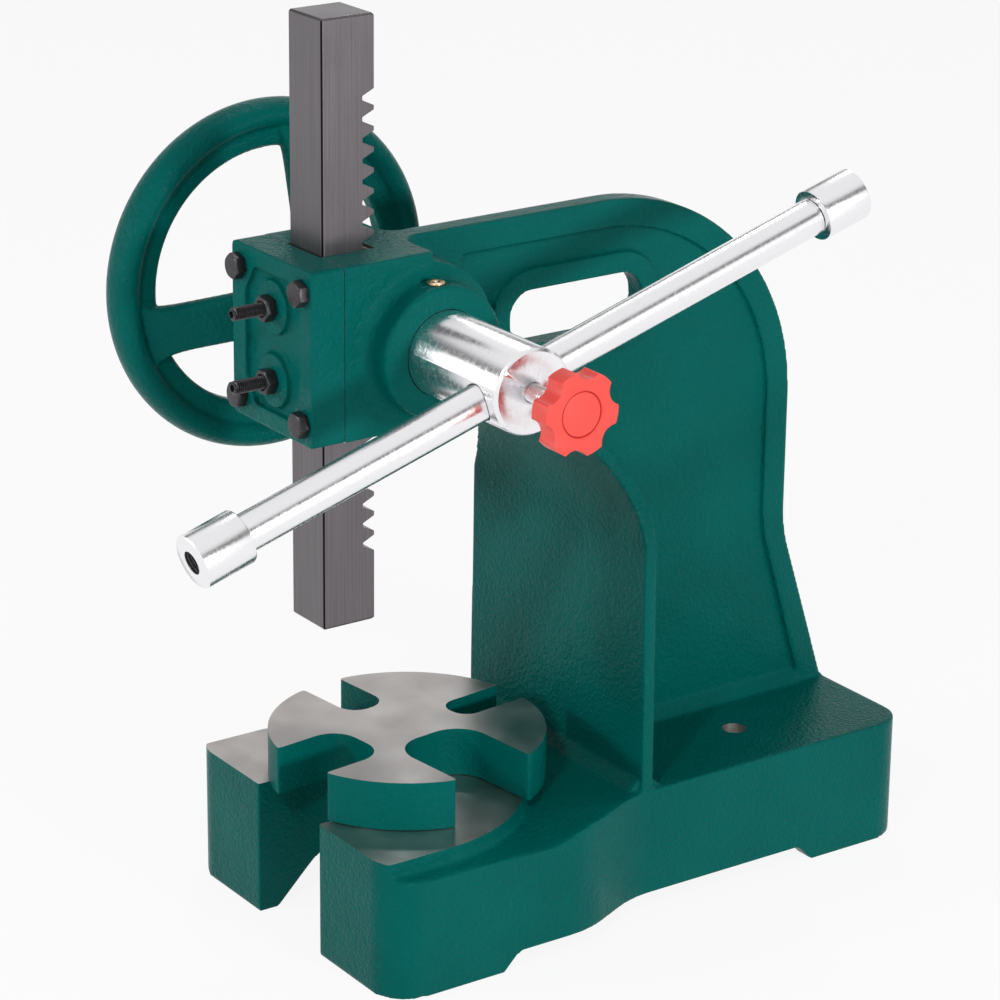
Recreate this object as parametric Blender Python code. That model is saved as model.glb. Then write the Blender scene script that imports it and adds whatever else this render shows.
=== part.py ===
"""Arbor press: cast frame, rack ram, pinion shaft with bar lever and hand wheel, notched table plate.

Metres, +Z up. X runs along the pinion shaft towards the lever, Y runs back from the ram.
"""

import bpy
import bmesh
from math import acos, atan2, ceil, cos, hypot, pi, radians, sin, sqrt, tan
from mathutils import Vector


# Seats, clearances and cuts
SEAT_GAP = 0.0003
SLIDE_GAP = 0.00025
OVERRUN = 0.002
ARC_SAG = 0.0002
ROUND_SIDES = 36
HOLE_SIDES = 20
SAME_POINT = 0.000001

# Ram, with the depth of its nose below the shaft at rest
RAM_SIDE = 0.0254
RAM_LENGTH = 0.2633
RAM_CHAMFER = 0.0009
RAM_NOSE_DEPTH = 0.1257

# Rack and pinion teeth
MODULE = 0.0028
PRESSURE_ANGLE = radians(25)
RACK_GULLETS = 23
PINION_TEETH = 11
ADDENDUM_SHARE = 0.9
DEDENDUM_SHARE = 1.1
BACKLASH = 0.0004
GULLET_ROUND = 0.0005
PINION_WIDTH = 0.0276
FLANK_POINTS = 5

# Pinion shaft
SHAFT_HEIGHT = 0.2699
SHAFT_RADIUS = 0.0184
SHAFT_END_X = 0.1086
SHAFT_CHAMFER = 0.0014
JOURNAL_RADIUS = 0.0125
WHEEL_SEAT_RADIUS = 0.0100
WHEEL_SEAT_LENGTH = 0.0162

# Lever through the shaft
LEVER_X = 0.0944
LEVER_TILT = radians(16.94)
LEVER_RADIUS = 0.0079
LEVER_FRONT_REACH = 0.1561
LEVER_REAR_REACH = 0.1822
LEVER_SPIGOT_RADIUS = 0.0050
LEVER_SPIGOT_LENGTH = 0.0130
CAP_RADIUS = 0.0114
CAP_LENGTH = 0.0231
CAP_CHAMFER = 0.0007

# Clamp stud and star knob in the end of the shaft
STUD_RADIUS = 0.0039
STUD_CHAMFER = 0.0006
KNOB_FACE_X = 0.1415
KNOB_THICKNESS = 0.0098
KNOB_RADIUS = 0.0159
KNOB_LOBES = 6
KNOB_LOBE_RISE = 0.0016
KNOB_EDGE_ROUND = 0.0014
KNOB_WALL = 0.0030
KNOB_CAP_RADIUS = 0.0092
KNOB_CAP_THICKNESS = 0.0016
KNOB_CAP_SUNK = 0.0004
KNOB_TURN = radians(8)

# Hand wheel, dished out from its hub
WHEEL_RADIUS = 0.0690
WHEEL_RIM_ROUND = 0.0100
WHEEL_RIM_X = -0.0938
WHEEL_HUB_RADIUS = 0.0200
WHEEL_HUB_LENGTH = 0.0155
WHEEL_SPOKES = 3
WHEEL_SPOKE_ANGLE = radians(75)
SPOKE_ROOT_RADIUS = 0.0120
SPOKE_ROOT_SETBACK = 0.0071
SPOKE_WIDTH = 0.0215
SPOKE_FLARE = 0.0050
SPOKE_THICKNESS = 0.0095
KEY_SIDE = 0.0050
KEY_LENGTH = 0.0120
WASHER_RADIUS = 0.0130
WASHER_THICKNESS = 0.0020
WHEEL_BOLT_RADIUS = 0.0038
WHEEL_BOLT_LENGTH = 0.0160
WHEEL_BOLT_FLATS = 0.0130
WHEEL_BOLT_HEAD = 0.0053

# Base plan and heights
BASE_FRONT = 0.0235
BASE_BACK = 0.2700
BASE_FRONT_WIDTH = 0.1640
BASE_REAR_WIDTH = 0.1343
BASE_HEIGHT = 0.0575
BASE_FRONT_CORNER = 0.0170
BASE_REAR_CORNER = 0.0160
WAIST_START = 0.0790
WAIST_END = 0.1130
WAIST_ROUND = 0.0450
BASE_EDGE_ROUND = 0.0016
BASE_WALL = 0.0095
BASE_ROOF = 0.0110
SLOT_WIDTH = 0.0492
SLOT_WALL = 0.0080
SLOT_WALL_RISE = 0.0260
FOOT_RISE = 0.0074
FOOT_SLOPE = 0.0070
FRONT_FOOT_LENGTH = 0.0580
REAR_FOOT_LENGTH = 0.0545
FRONT_WALL = 0.0100
BENCH_HOLE_RADIUS = 0.0055
BENCH_HOLE_X = 0.0335
BENCH_HOLE_Y = 0.1952

# Machined pad under the table plate, and the shoulder beside it
PAD_RISE = 0.0043
PAD_WIDTH = 0.1504
PAD_RADIUS = 0.0745
PAD_CENTRE_Y = 0.0100
SHOULDER_INNER_DROP = 0.0022
SHOULDER_OUTER_DROP = 0.0063
SHOULDER_END = 0.0840
SHOULDER_RAMP = 0.0240

# Table plate and its pivot pin
PLATE_RADIUS = 0.0610
PLATE_THICKNESS = 0.0219
PLATE_CENTRE_Y = 0.0381
PLATE_TURN = radians(6.3)
PLATE_EDGE_ROUND = 0.0010
NOTCH_WIDTHS = (0.0330, 0.0405, 0.0176, 0.0204)
NOTCH_INNER_RADII = (0.0259, 0.0132, 0.0255, 0.0257)
NOTCH_INNER_ROUNDS = (0.0120, 0.0150, 0.0080, 0.0090)
PIN_RADIUS = 0.0060
PIN_DEPTH_IN_PLATE = 0.0130
PIN_BOSS_RADIUS = 0.0150
PIN_NUT_FLATS = 0.0180
PIN_NUT_THICKNESS = 0.0100
PIN_THREAD_END = 0.0020

# Column flange, between the base and the head
FLANGE_Y = 0.1176
FLANGE_THICKNESS = 0.0063
FLANGE_ROOT_WIDTH = 0.1336
FLANGE_SHOULDER_WIDTH = 0.1304
THROAT_RADIUS = 0.0620
COVE_RADIUS = 0.0050

# Web with its rim, and the window with its lip
RIM_THICKNESS = 0.0112
WEB_THICKNESS = 0.0064
RIM_WIDTH = 0.0124
ARM_BACK = 0.2432
ARM_ROUND = 0.1065
BACK_KINK_HEIGHT = 0.1374
BACK_KINK_ROUND = 0.0600
BACK_FOOT_SETBACK = 0.0006
WINDOW_DEPTH = 0.0199
WINDOW_HEIGHT = 0.0248
WINDOW_FRONT = 0.0874
WINDOW_BACK = 0.1580
WINDOW_ROUND = 0.0115
LIP_WIDTH = 0.0095
RECESS_FRONT = 0.0570
RECESS_ROUND = 0.0040

# Head with its ram channel and shaft bosses
HEAD_WIDTH = 0.0624
HEAD_RISE = 0.0389
HEAD_DEPTH = 0.0364
HEAD_BACK = 0.0310
HEAD_BACK_ROUND = 0.0030
NECK_ROUND = 0.0080
NECK_END = 0.0620
SEAM_Y = 0.0135
BOSS_LENGTH = 0.0930
BOSS_RADIUS = 0.0286
BOSS_BARREL_RADIUS = 0.0355
BOSS_FACE_CHAMFER = 0.0022
BOSS_COVE = 0.0062

# Cover plate, its bolts, and the gib with its screws
COVER_THICKNESS = 0.0161
COVER_CORNER = 0.0020
COVER_EDGE_ROUND = 0.0014
COVER_RECESS = 0.0028
COVER_BORDER_SIDE = 0.0104
COVER_BORDER_END = 0.0078
COVER_NOTCH_X = 0.0070
COVER_NOTCH_Z = 0.0115
COVER_PAD_RADIUS = 0.0116
BOLT_SPACING_X = 0.0488
BOLT_SPACING_Z = 0.0560
BOLT_RADIUS = 0.0029
BOLT_FLATS = 0.0100
BOLT_HEAD = 0.0046
BOLT_REACH = 0.0290
BOLT_HOLE_SPARE = 0.0020
BOLT_FACE_SHARE = 0.94
BOLT_CROWN_SLOPE = tan(radians(30))
GIB_WIDTH = 0.0240
GIB_THICKNESS = 0.0052
GIB_LENGTH = 0.0680
GIB_SCREW_SPACING = 0.0316
GIB_SCREW_TIP_Y = 0.0487
SOCKET_FLATS = 0.0030
SOCKET_DEPTH = 0.0030
JAM_NUT_THICKNESS = 0.0050

# Ball oiler on top of the lever-side boss
OILER_X = 0.0390
OILER_RADIUS = 0.0040
OILER_RISE = 0.0008
OILER_STEM_RADIUS = 0.0026
OILER_STEM_LENGTH = 0.0060
OILER_BALL_RADIUS = 0.0013
SPOT_FACE_RADIUS = 0.0062

# Places worked out from the sizes above
rack_pitch = pi * MODULE
pitch_radius = MODULE * PINION_TEETH / 2
addendum = MODULE * ADDENDUM_SHARE
dedendum = MODULE * DEDENDUM_SHARE
shaft_y = RAM_SIDE / 2 - addendum + pitch_radius
base_datum_y = BASE_BACK - BASE_WALL / 2
pad_z = BASE_HEIGHT + PAD_RISE
ram_nose_z = SHAFT_HEIGHT - RAM_NOSE_DEPTH
arm_top_z = SHAFT_HEIGHT + HEAD_RISE
head_low_z = SHAFT_HEIGHT - HEAD_DEPTH
head_centre_z = (head_low_z + arm_top_z) / 2
window_low_z = SHAFT_HEIGHT - WINDOW_DEPTH
window_high_z = window_low_z + WINDOW_HEIGHT
boss_face_x = BOSS_LENGTH / 2
plate_low = pad_z + SEAT_GAP
shaft_bore = SHAFT_RADIUS + SLIDE_GAP
cover_face_y = -(SEAM_Y + SEAT_GAP + COVER_THICKNESS)


def linear(channel):
    """One sRGB channel, 0 to 1, as linear light."""
    return channel / 12.92 if channel <= 0.04045 else ((channel + 0.055) / 1.055) ** 2.4


def make_material(name, colour, roughness, metallic):
    """A Principled material from an sRGB hex colour."""
    material = bpy.data.materials.new(name)
    material.use_nodes = True
    shader = material.node_tree.nodes["Principled BSDF"]
    channels = [int(colour[i:i + 2], 16) / 255 for i in (0, 2, 4)]
    shader.inputs["Base Color"].default_value = (*(linear(c) for c in channels), 1)
    shader.inputs["Roughness"].default_value = roughness
    shader.inputs["Metallic"].default_value = metallic
    return material


def make_empty(name, parent, location, turn=(0, 0, 0)):
    """An axis or a group to parent pieces to."""
    empty = bpy.data.objects.new(name, None)
    bpy.context.collection.objects.link(empty)
    empty.parent = parent
    empty.location = location
    empty.rotation_euler = turn
    return empty


def make_object(name, mesh_builder, material=None, parent=None, location=(0, 0, 0)):
    """An object from a bmesh, its normals pointing out."""
    bmesh.ops.recalc_face_normals(mesh_builder, faces=mesh_builder.faces)
    mesh = bpy.data.meshes.new(name)
    mesh_builder.to_mesh(mesh)
    mesh_builder.free()
    mesh.shade_smooth()
    mesh.set_sharp_from_angle(angle=radians(32))
    if material:
        mesh.materials.append(material)
    piece = bpy.data.objects.new(name, mesh)
    bpy.context.collection.objects.link(piece)
    piece.parent = parent
    piece.location = location
    return piece


def arc_steps(radius, sweep):
    """How many straight steps keep an arc within the sag allowed."""
    return max(2, ceil(sweep / (2 * acos(max(0, 1 - ARC_SAG / radius)))))


def rounded(corners):
    """Outline points from corners (u, v) or (u, v, round), each round as an arc in even steps."""
    points = []
    for index, corner in enumerate(corners):
        here = Vector(corner[:2])
        radius = corner[2] if len(corner) > 2 else 0
        before = (Vector(corners[index - 1][:2]) - here).normalized()
        after = (Vector(corners[(index + 1) % len(corners)][:2]) - here).normalized()
        if not radius:
            points.append(here)
            continue
        half = acos(max(-1, min(1, before.dot(after)))) / 2
        centre = here + (before + after).normalized() * radius / sin(half)
        start = here + before * radius / tan(half) - centre
        sweep = pi - 2 * half
        if after.x * before.y - after.y * before.x < 0:
            sweep = -sweep
        steps = arc_steps(radius, abs(sweep))
        for step in range(steps + 1):
            angle = sweep * step / steps
            points.append(centre + Vector((start.x * cos(angle) - start.y * sin(angle),
                                           start.x * sin(angle) + start.y * cos(angle))))
    return [point for i, point in enumerate(points) if (point - points[i - 1]).length > SAME_POINT]


def mirrored(right_half):
    """A whole plan from the corners of its +X half, listed front to back."""
    return list(right_half) + [(-corner[0], *corner[1:]) for corner in reversed(right_half)]


def circle(radius, centre=(0, 0), sides=ROUND_SIDES):
    return [(centre[0] + radius * cos(2 * pi * i / sides), centre[1] + radius * sin(2 * pi * i / sides))
            for i in range(sides)]


def hexagon(flats, centre=(0, 0)):
    """A hexagon across flats, with two corners on the second axis."""
    radius = flats / sqrt(3)
    return [(centre[0] + radius * sin(i * pi / 3), centre[1] + radius * cos(i * pi / 3)) for i in range(6)]


def place(axis, u, v, along):
    """A point from outline coordinates and the height along the extrusion axis."""
    return {"X": (along, u, v), "Y": (u, along, v), "Z": (u, v, along)}[axis]


def prism_mesh(outline, axis, low, high, edge_round=0, rounded_ends="both"):
    """A closed prism of an outline, its end edges rounded where asked."""
    builder = bmesh.new()
    rings = [[builder.verts.new(place(axis, point[0], point[1], along)) for point in outline]
             for along in (low, high)]
    ends = [builder.faces.new(ring) for ring in rings]
    for i in range(len(outline)):
        j = (i + 1) % len(outline)
        builder.faces.new((rings[0][i], rings[0][j], rings[1][j], rings[1][i]))
    if edge_round:
        picked = {"both": ends, "low": ends[:1], "high": ends[1:]}[rounded_ends]
        edges = [edge for face in picked for edge in face.edges]
        bmesh.ops.recalc_face_normals(builder, faces=builder.faces)
        bmesh.ops.bevel(builder, geom=edges, offset=edge_round, segments=2, profile=0.5,
                        affect="EDGES", material=-1)
    return builder


def prism(name, outline, axis, low, high, material=None, parent=None, location=(0, 0, 0),
          edge_round=0, rounded_ends="both"):
    builder = prism_mesh(outline, axis, low, high, edge_round, rounded_ends)
    return make_object(name, builder, material, parent, location)


def turned(name, profile, axis, material=None, parent=None, location=(0, 0, 0), sides=ROUND_SIDES):
    """A solid turned about an axis from a profile of (along, radius) points.

    A profile that starts and ends at radius 0 is solid. Any other profile closes on itself, as a ring.
    """
    builder = bmesh.new()
    solid = profile[0][1] == 0 and profile[-1][1] == 0
    flat_start = solid and profile[0][0] == profile[1][0]
    flat_end = solid and profile[-1][0] == profile[-2][0]
    rings = []
    for along, radius in profile[flat_start:len(profile) - flat_end]:
        points = circle(radius, sides=sides) if radius else [(0, 0)]
        rings.append([builder.verts.new(place(axis, u, v, along)) for u, v in points])
    for i in range(len(rings) - 1 if solid else len(rings)):
        first, second = rings[i], rings[(i + 1) % len(rings)]
        for k in range(sides):
            m = (k + 1) % sides
            corners = [first[k % len(first)], first[m % len(first)],
                       second[m % len(second)], second[k % len(second)]]
            builder.faces.new(list(dict.fromkeys(corners)))
    if flat_start:
        builder.faces.new(rings[0])
    if flat_end:
        builder.faces.new(rings[-1])
    return make_object(name, builder, material, parent, location)


def combine(piece, tool, operation):
    """Adds an exact Boolean, and keeps the tool as a hidden guide."""
    modifier = piece.modifiers.new(tool.name, "BOOLEAN")
    modifier.object = tool
    modifier.operation = operation
    tool.hide_render = True
    tool.display_type = "WIRE"


def join(piece, tool):
    combine(piece, tool, "UNION")


def cut(piece, tool):
    combine(piece, tool, "DIFFERENCE")


def hole(name, axis, centre, radius, low, high, parent, sides=HOLE_SIDES):
    """A round cutter from low to high along an axis, centred on an outline point."""
    return prism(name, circle(radius, centre, sides), axis, low, high, parent=parent)


def cove(corner, across, up):
    """A fillet's cross section in an inner corner, its two legs running by the signs given."""
    radius = COVE_RADIUS
    u, v = corner
    points = [(u - across * radius / 2, v - up * radius / 2), (u + across * radius, v - up * radius / 2)]
    steps = arc_steps(radius, pi / 2)
    for step in range(steps + 1):
        angle = pi / 2 * step / steps
        points.append((u + across * radius * (1 - sin(angle)), v + up * radius * (1 - cos(angle))))
    points.append((u - across * radius / 2, v + up * radius))
    return points


# Frame casting

def base_outline(inset=0):
    """The base's plan: wide prongs in front, a waist, and a narrower rear."""
    front_half = BASE_FRONT_WIDTH / 2 - inset
    rear_half = BASE_REAR_WIDTH / 2 - inset
    return rounded(mirrored([
        (front_half, -BASE_FRONT + inset, BASE_FRONT_CORNER - inset),
        (front_half, WAIST_START, WAIST_ROUND),
        (rear_half, WAIST_END, WAIST_ROUND),
        (rear_half, BASE_BACK - inset, BASE_REAR_CORNER - inset)]))


def slot_outline(wall=0):
    """The open slot's plan: straight from the front, round under the ram."""
    half = SLOT_WIDTH / 2 + wall
    front = -(BASE_FRONT + OVERRUN)
    return rounded([(half, front), (half, half, half), (-half, half, half), (-half, front)])


def pad_half_width(y):
    """Half the pad's width at a distance behind the ram."""
    if y <= PAD_CENTRE_Y:
        return PAD_WIDTH / 2
    return sqrt(max(0, PAD_RADIUS ** 2 - (y - PAD_CENTRE_Y) ** 2))


def shoulder_cutter(name, side, parent):
    """The slope cut down beside the pad, following the pad's edge."""
    builder = bmesh.new()
    front = -(BASE_FRONT + OVERRUN)
    straight = SHOULDER_END - SHOULDER_RAMP
    stations = [front, PAD_CENTRE_Y]
    stations += [PAD_CENTRE_Y + (straight - PAD_CENTRE_Y) * step / 4 for step in range(1, 5)]
    stations += [straight + SHOULDER_RAMP * step / 3 for step in range(1, 4)]
    outer = BASE_FRONT_WIDTH / 2 + OVERRUN
    top = pad_z + OVERRUN
    rings = []
    for y in stations:
        ramp = max(0, (y - straight) / SHOULDER_RAMP)
        inner_low = BASE_HEIGHT - SHOULDER_INNER_DROP * (1 - ramp) + SEAT_GAP * ramp
        outer_low = BASE_HEIGHT - SHOULDER_OUTER_DROP * (1 - ramp) + SEAT_GAP * ramp
        inner = max(pad_half_width(y), SLOT_WIDTH / 2)
        ring = [(inner, top), (inner, inner_low), (outer, outer_low), (outer, top)]
        rings.append([builder.verts.new((side * x, y, z)) for x, z in ring])
    for first, second in zip(rings, rings[1:]):
        for i in range(4):
            j = (i + 1) % 4
            builder.faces.new((first[i], first[j], second[j], second[i]))
    builder.faces.new(rings[0])
    builder.faces.new(rings[-1])
    return make_object(name, builder, parent=parent)


def make_base(material, parent):
    base = prism("frame_casting", base_outline(), "Z", 0, pad_z, material, parent,
                 edge_round=BASE_EDGE_ROUND, rounded_ends="high")

    lowered = prism("base_top_lowering",
                    [(-BASE_FRONT_WIDTH, -BASE_FRONT_WIDTH), (BASE_FRONT_WIDTH, -BASE_FRONT_WIDTH),
                     (BASE_FRONT_WIDTH, BASE_BACK * 2), (-BASE_FRONT_WIDTH, BASE_BACK * 2)],
                    "Z", BASE_HEIGHT, pad_z + OVERRUN, parent=parent)
    half = PAD_WIDTH / 2
    arc_start = PAD_CENTRE_Y + sqrt(max(0, PAD_RADIUS ** 2 - half ** 2))
    reach = atan2(arc_start - PAD_CENTRE_Y, half)
    steps = arc_steps(PAD_RADIUS, pi - 2 * reach)
    pad = [(-half, -2 * BASE_FRONT_WIDTH), (half, -2 * BASE_FRONT_WIDTH)]
    for step in range(steps + 1):
        angle = reach + (pi - 2 * reach) * step / steps
        pad.append((PAD_RADIUS * cos(angle), PAD_CENTRE_Y + PAD_RADIUS * sin(angle)))
    cut(lowered, prism("pad_kept", pad, "Z", BASE_HEIGHT - OVERRUN, pad_z + 2 * OVERRUN, parent=parent))
    cut(base, lowered)
    for side, label in ((1, "right"), (-1, "left")):
        cut(base, shoulder_cutter("shoulder_" + label, side, parent))
    return base


def hollow_base(base, parent):
    """The slot, the hollow underside, the arches between the feet and the holes."""
    roof = BASE_HEIGHT - BASE_ROOF
    slot_wall = slot_outline(SLOT_WALL)
    hollow = prism("base_hollow", base_outline(BASE_WALL), "Z", -OVERRUN, roof, parent=parent)
    cut(hollow, prism("slot_wall_kept", slot_wall, "Z", -2 * OVERRUN, roof + OVERRUN, parent=parent))
    boss = circle(PIN_BOSS_RADIUS, (0, PLATE_CENTRE_Y))
    cut(hollow, prism("pin_boss_kept", boss, "Z", SLOT_WALL_RISE, roof + OVERRUN, parent=parent))
    cut(base, hollow)

    wall_half = SLOT_WIDTH / 2 + SLOT_WALL
    wall_front = FRONT_WALL - BASE_FRONT
    wall_back = wall_half + OVERRUN
    rise_end = wall_front + SLOT_WALL_RISE * (wall_back - wall_front) / (SLOT_WALL_RISE + wall_half)
    underside = rounded([(wall_front, -OVERRUN), (wall_front, 0), (rise_end, SLOT_WALL_RISE, COVE_RADIUS),
                         (wall_back, SLOT_WALL_RISE), (wall_back, -OVERRUN)])
    cut(base, prism("slot_wall_underside", underside, "X", -wall_half - OVERRUN, wall_half + OVERRUN,
                    parent=parent))
    cut(base, prism("base_slot", slot_outline(), "Z", -2 * OVERRUN, pad_z + 2 * OVERRUN, parent=parent))

    front_end = FRONT_FOOT_LENGTH - BASE_FRONT
    rear_end = BASE_BACK - REAR_FOOT_LENGTH
    arch = rounded([(front_end - FOOT_SLOPE, -FOOT_RISE), (front_end, 0),
                    (front_end + FOOT_SLOPE, FOOT_RISE, COVE_RADIUS),
                    (rear_end - FOOT_SLOPE, FOOT_RISE, COVE_RADIUS),
                    (rear_end, 0), (rear_end + FOOT_SLOPE, -FOOT_RISE)])
    cut(base, prism("side_arches", arch, "X", -BASE_FRONT_WIDTH, BASE_FRONT_WIDTH, parent=parent))

    for side, label in ((1, "right"), (-1, "left")):
        cut(base, hole("bench_hole_" + label, "Z", (side * BENCH_HOLE_X, BENCH_HOLE_Y), BENCH_HOLE_RADIUS,
                       roof - OVERRUN, BASE_HEIGHT + OVERRUN, parent))
    cut(base, hole("pin_hole", "Z", (0, PLATE_CENTRE_Y), PIN_RADIUS + SLIDE_GAP,
                   SLOT_WALL_RISE - OVERRUN, pad_z + OVERRUN, parent))


def web_outline(inset=0, front=0):
    """The web's side view: arm, rounded back corner, sloping back edge and throat."""
    throat = THROAT_RADIUS + FLANGE_THICKNESS / 2
    throat_y = FLANGE_Y + FLANGE_THICKNESS / 2
    throat_z = head_low_z + FLANGE_THICKNESS / 2
    foot_z = BASE_HEIGHT - BASE_ROOF / 2
    back = ARM_BACK - inset
    foot_back = BASE_BACK - BACK_FOOT_SETBACK
    slope = (foot_back - ARM_BACK) / (BACK_KINK_HEIGHT - BASE_HEIGHT)
    low_back = foot_back - inset * hypot(1, slope)
    kink = BACK_KINK_HEIGHT + inset * (hypot(1, slope) - 1) / slope
    return rounded([
        (front, arm_top_z - inset, RECESS_ROUND if inset else 0),
        (back, arm_top_z - inset, ARM_ROUND - inset),
        (back, kink, BACK_KINK_ROUND),
        (low_back, BASE_HEIGHT),
        (low_back, foot_z),
        (throat_y, foot_z),
        (throat_y, throat_z, throat),
        (front, throat_z)])


def window_outline(grow=0):
    """The window's side view, or its lip's when grown."""
    corner = WINDOW_ROUND + grow
    front = WINDOW_FRONT - grow
    back = WINDOW_BACK + grow
    low = window_low_z - grow
    high = window_high_z + grow
    return rounded([(front, low, corner), (back, low, corner), (back, high, corner), (front, high, corner)])


def make_web(parent):
    half = RIM_THICKNESS / 2
    web_half = WEB_THICKNESS / 2
    web = prism("web", web_outline(front=HEAD_BACK), "X", -half, half, parent=parent)
    for side, label in ((1, "right"), (-1, "left")):
        low, high = sorted((side * web_half, side * (half + OVERRUN)))
        recess = prism("recess_" + label, web_outline(RIM_WIDTH, RECESS_FRONT), "X", low, high, parent=parent)
        cut(recess, prism("lip_kept_" + label, window_outline(LIP_WIDTH), "X", low - OVERRUN, high + OVERRUN,
                          parent=parent))
        cut(web, recess)
    cut(web, prism("window", window_outline(), "X", -half - OVERRUN, half + OVERRUN, parent=parent))
    return web


def flange_half_width(angle):
    """Half the flange's width along the throat arc, narrowing to the head."""
    share = (cos(angle) ** 2 + 1 - sin(angle)) / 2
    return (HEAD_WIDTH + (FLANGE_SHOULDER_WIDTH - HEAD_WIDTH) * share) / 2


def make_flange(parent):
    """A plate that rises from the base, narrows, and arcs forward under the head."""
    builder = bmesh.new()
    arc_z = head_low_z - THROAT_RADIUS
    arc_y = FLANGE_Y - THROAT_RADIUS
    root_z = BASE_HEIGHT - BASE_ROOF / 2
    outer = THROAT_RADIUS + FLANGE_THICKNESS
    stations = [(FLANGE_Y, root_z, FLANGE_Y + FLANGE_THICKNESS, root_z, FLANGE_ROOT_WIDTH / 2)]
    steps = arc_steps(THROAT_RADIUS, pi / 2)
    for step in range(steps + 1):
        angle = pi / 2 * step / steps
        stations.append((arc_y + THROAT_RADIUS * cos(angle), arc_z + THROAT_RADIUS * sin(angle),
                         arc_y + outer * cos(angle), arc_z + outer * sin(angle), flange_half_width(angle)))
    stations.append((HEAD_BACK / 2, head_low_z, HEAD_BACK / 2, head_low_z + FLANGE_THICKNESS, HEAD_WIDTH / 2))
    rings = []
    for front_y, front_z, back_y, back_z, half in stations:
        ring = [(half, front_y, front_z), (half, back_y, back_z),
                (-half, back_y, back_z), (-half, front_y, front_z)]
        rings.append([builder.verts.new(point) for point in ring])
    for first, second in zip(rings, rings[1:]):
        for i in range(4):
            j = (i + 1) % 4
            builder.faces.new((first[i], first[j], second[j], second[i]))
    builder.faces.new(rings[0])
    builder.faces.new(rings[-1])
    return make_object("flange", builder, parent=parent)


def make_head(parent):
    """The head's block with its neck into the arm."""
    half = HEAD_WIDTH / 2
    neck = RIM_THICKNESS / 2
    plan = rounded(mirrored([(half, -SEAM_Y), (half, HEAD_BACK, HEAD_BACK_ROUND), (neck, HEAD_BACK, NECK_ROUND),
                             (neck, NECK_END)]))
    return prism("head", plan, "Z", head_low_z, arm_top_z, parent=parent)


def make_boss(parent):
    """The shaft's bearing barrel, with a collar on each side of the head."""
    half = HEAD_WIDTH / 2
    steps = arc_steps(BOSS_COVE, pi / 2)
    side = [(boss_face_x, 0), (boss_face_x, BOSS_RADIUS - BOSS_FACE_CHAMFER),
            (boss_face_x - BOSS_FACE_CHAMFER, BOSS_RADIUS)]
    for step in range(steps):
        angle = pi / 2 * step / steps
        side.append((half + BOSS_COVE * (1 - sin(angle)), BOSS_RADIUS + BOSS_COVE * (1 - cos(angle))))
    side.append((half - BOSS_COVE, BOSS_BARREL_RADIUS))
    profile = side + [(-along, radius) for along, radius in reversed(side)]
    return turned("boss", profile, "X", parent=parent, location=(0, shaft_y, SHAFT_HEIGHT))


def make_coves(parent):
    """Fillets where the web and the flange stand on the base and on each other."""
    web_half = WEB_THICKNESS / 2
    flange_back = FLANGE_Y + FLANGE_THICKNESS
    root_half = FLANGE_ROOT_WIDTH / 2
    coves = []
    for side, label in ((1, "right"), (-1, "left")):
        coves.append(prism("web_cove_" + label, cove((side * web_half, BASE_HEIGHT), side, 1), "Y",
                           FLANGE_Y + FLANGE_THICKNESS / 2, BASE_BACK - BASE_REAR_CORNER, parent=parent))
        coves.append(prism("column_cove_" + label, cove((side * web_half, flange_back), side, 1), "Z",
                           BASE_HEIGHT - BASE_ROOF / 3, head_low_z - THROAT_RADIUS, parent=parent))
    coves.append(prism("throat_cove", cove((FLANGE_Y, BASE_HEIGHT), -1, 1), "X",
                       -root_half + BASE_EDGE_ROUND, root_half - BASE_EDGE_ROUND, parent=parent))
    coves.append(prism("rear_cove", cove((flange_back, BASE_HEIGHT), 1, 1), "X",
                       -root_half + BASE_EDGE_ROUND, root_half - BASE_EDGE_ROUND, parent=parent))
    return coves


def cut_head(frame, parent):
    """The ram channel, the stepped shaft bore, the cover's tapped holes and the oil hole."""
    channel = RAM_SIDE / 2 + SLIDE_GAP
    front = -(SEAM_Y + OVERRUN)
    outline = [(-channel, front), (channel, front), (channel, channel), (-channel, channel)]
    cut(frame, prism("ram_channel", outline,
                     "Z", head_low_z - OVERRUN, arm_top_z + OVERRUN, parent=parent))
    step_x = -(PINION_WIDTH / 2 + SEAT_GAP)
    reach = boss_face_x + OVERRUN
    small = JOURNAL_RADIUS + SLIDE_GAP
    profile = [(-reach, 0), (-reach, small), (step_x, small),
               (step_x, shaft_bore), (reach, shaft_bore), (reach, 0)]
    cut(frame, turned("shaft_bore", profile, "X", parent=parent, location=(0, shaft_y, SHAFT_HEIGHT)))
    for index, (x, z) in enumerate(bolt_places()):
        depth = BOLT_REACH - COVER_THICKNESS - SEAM_Y + BOLT_HOLE_SPARE
        cut(frame, hole(f"bolt_thread_{index + 1}", "Y", (x, z), BOLT_RADIUS + SLIDE_GAP,
                        front, depth, parent))
    boss_top = SHAFT_HEIGHT + BOSS_RADIUS
    seat = boss_top - OILER_RISE
    cut(frame, hole("oiler_spot_face", "Z", (OILER_X, shaft_y), SPOT_FACE_RADIUS, seat, boss_top + BOSS_COVE,
                    parent))
    cut(frame, hole("oil_hole", "Z", (OILER_X, shaft_y), OILER_STEM_RADIUS + SLIDE_GAP,
                    SHAFT_HEIGHT + JOURNAL_RADIUS, seat + OVERRUN, parent))


def bolt_places():
    """The cover bolts' places, in X and Z, round the head's front."""
    return [(side * BOLT_SPACING_X / 2, head_centre_z + end * BOLT_SPACING_Z / 2)
            for side in (-1, 1) for end in (1, -1)]


def gib_screw_places():
    """The gib screws' heights with their labels."""
    return [("upper", head_centre_z + GIB_SCREW_SPACING / 2),
            ("lower", head_centre_z - GIB_SCREW_SPACING / 2)]


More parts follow.
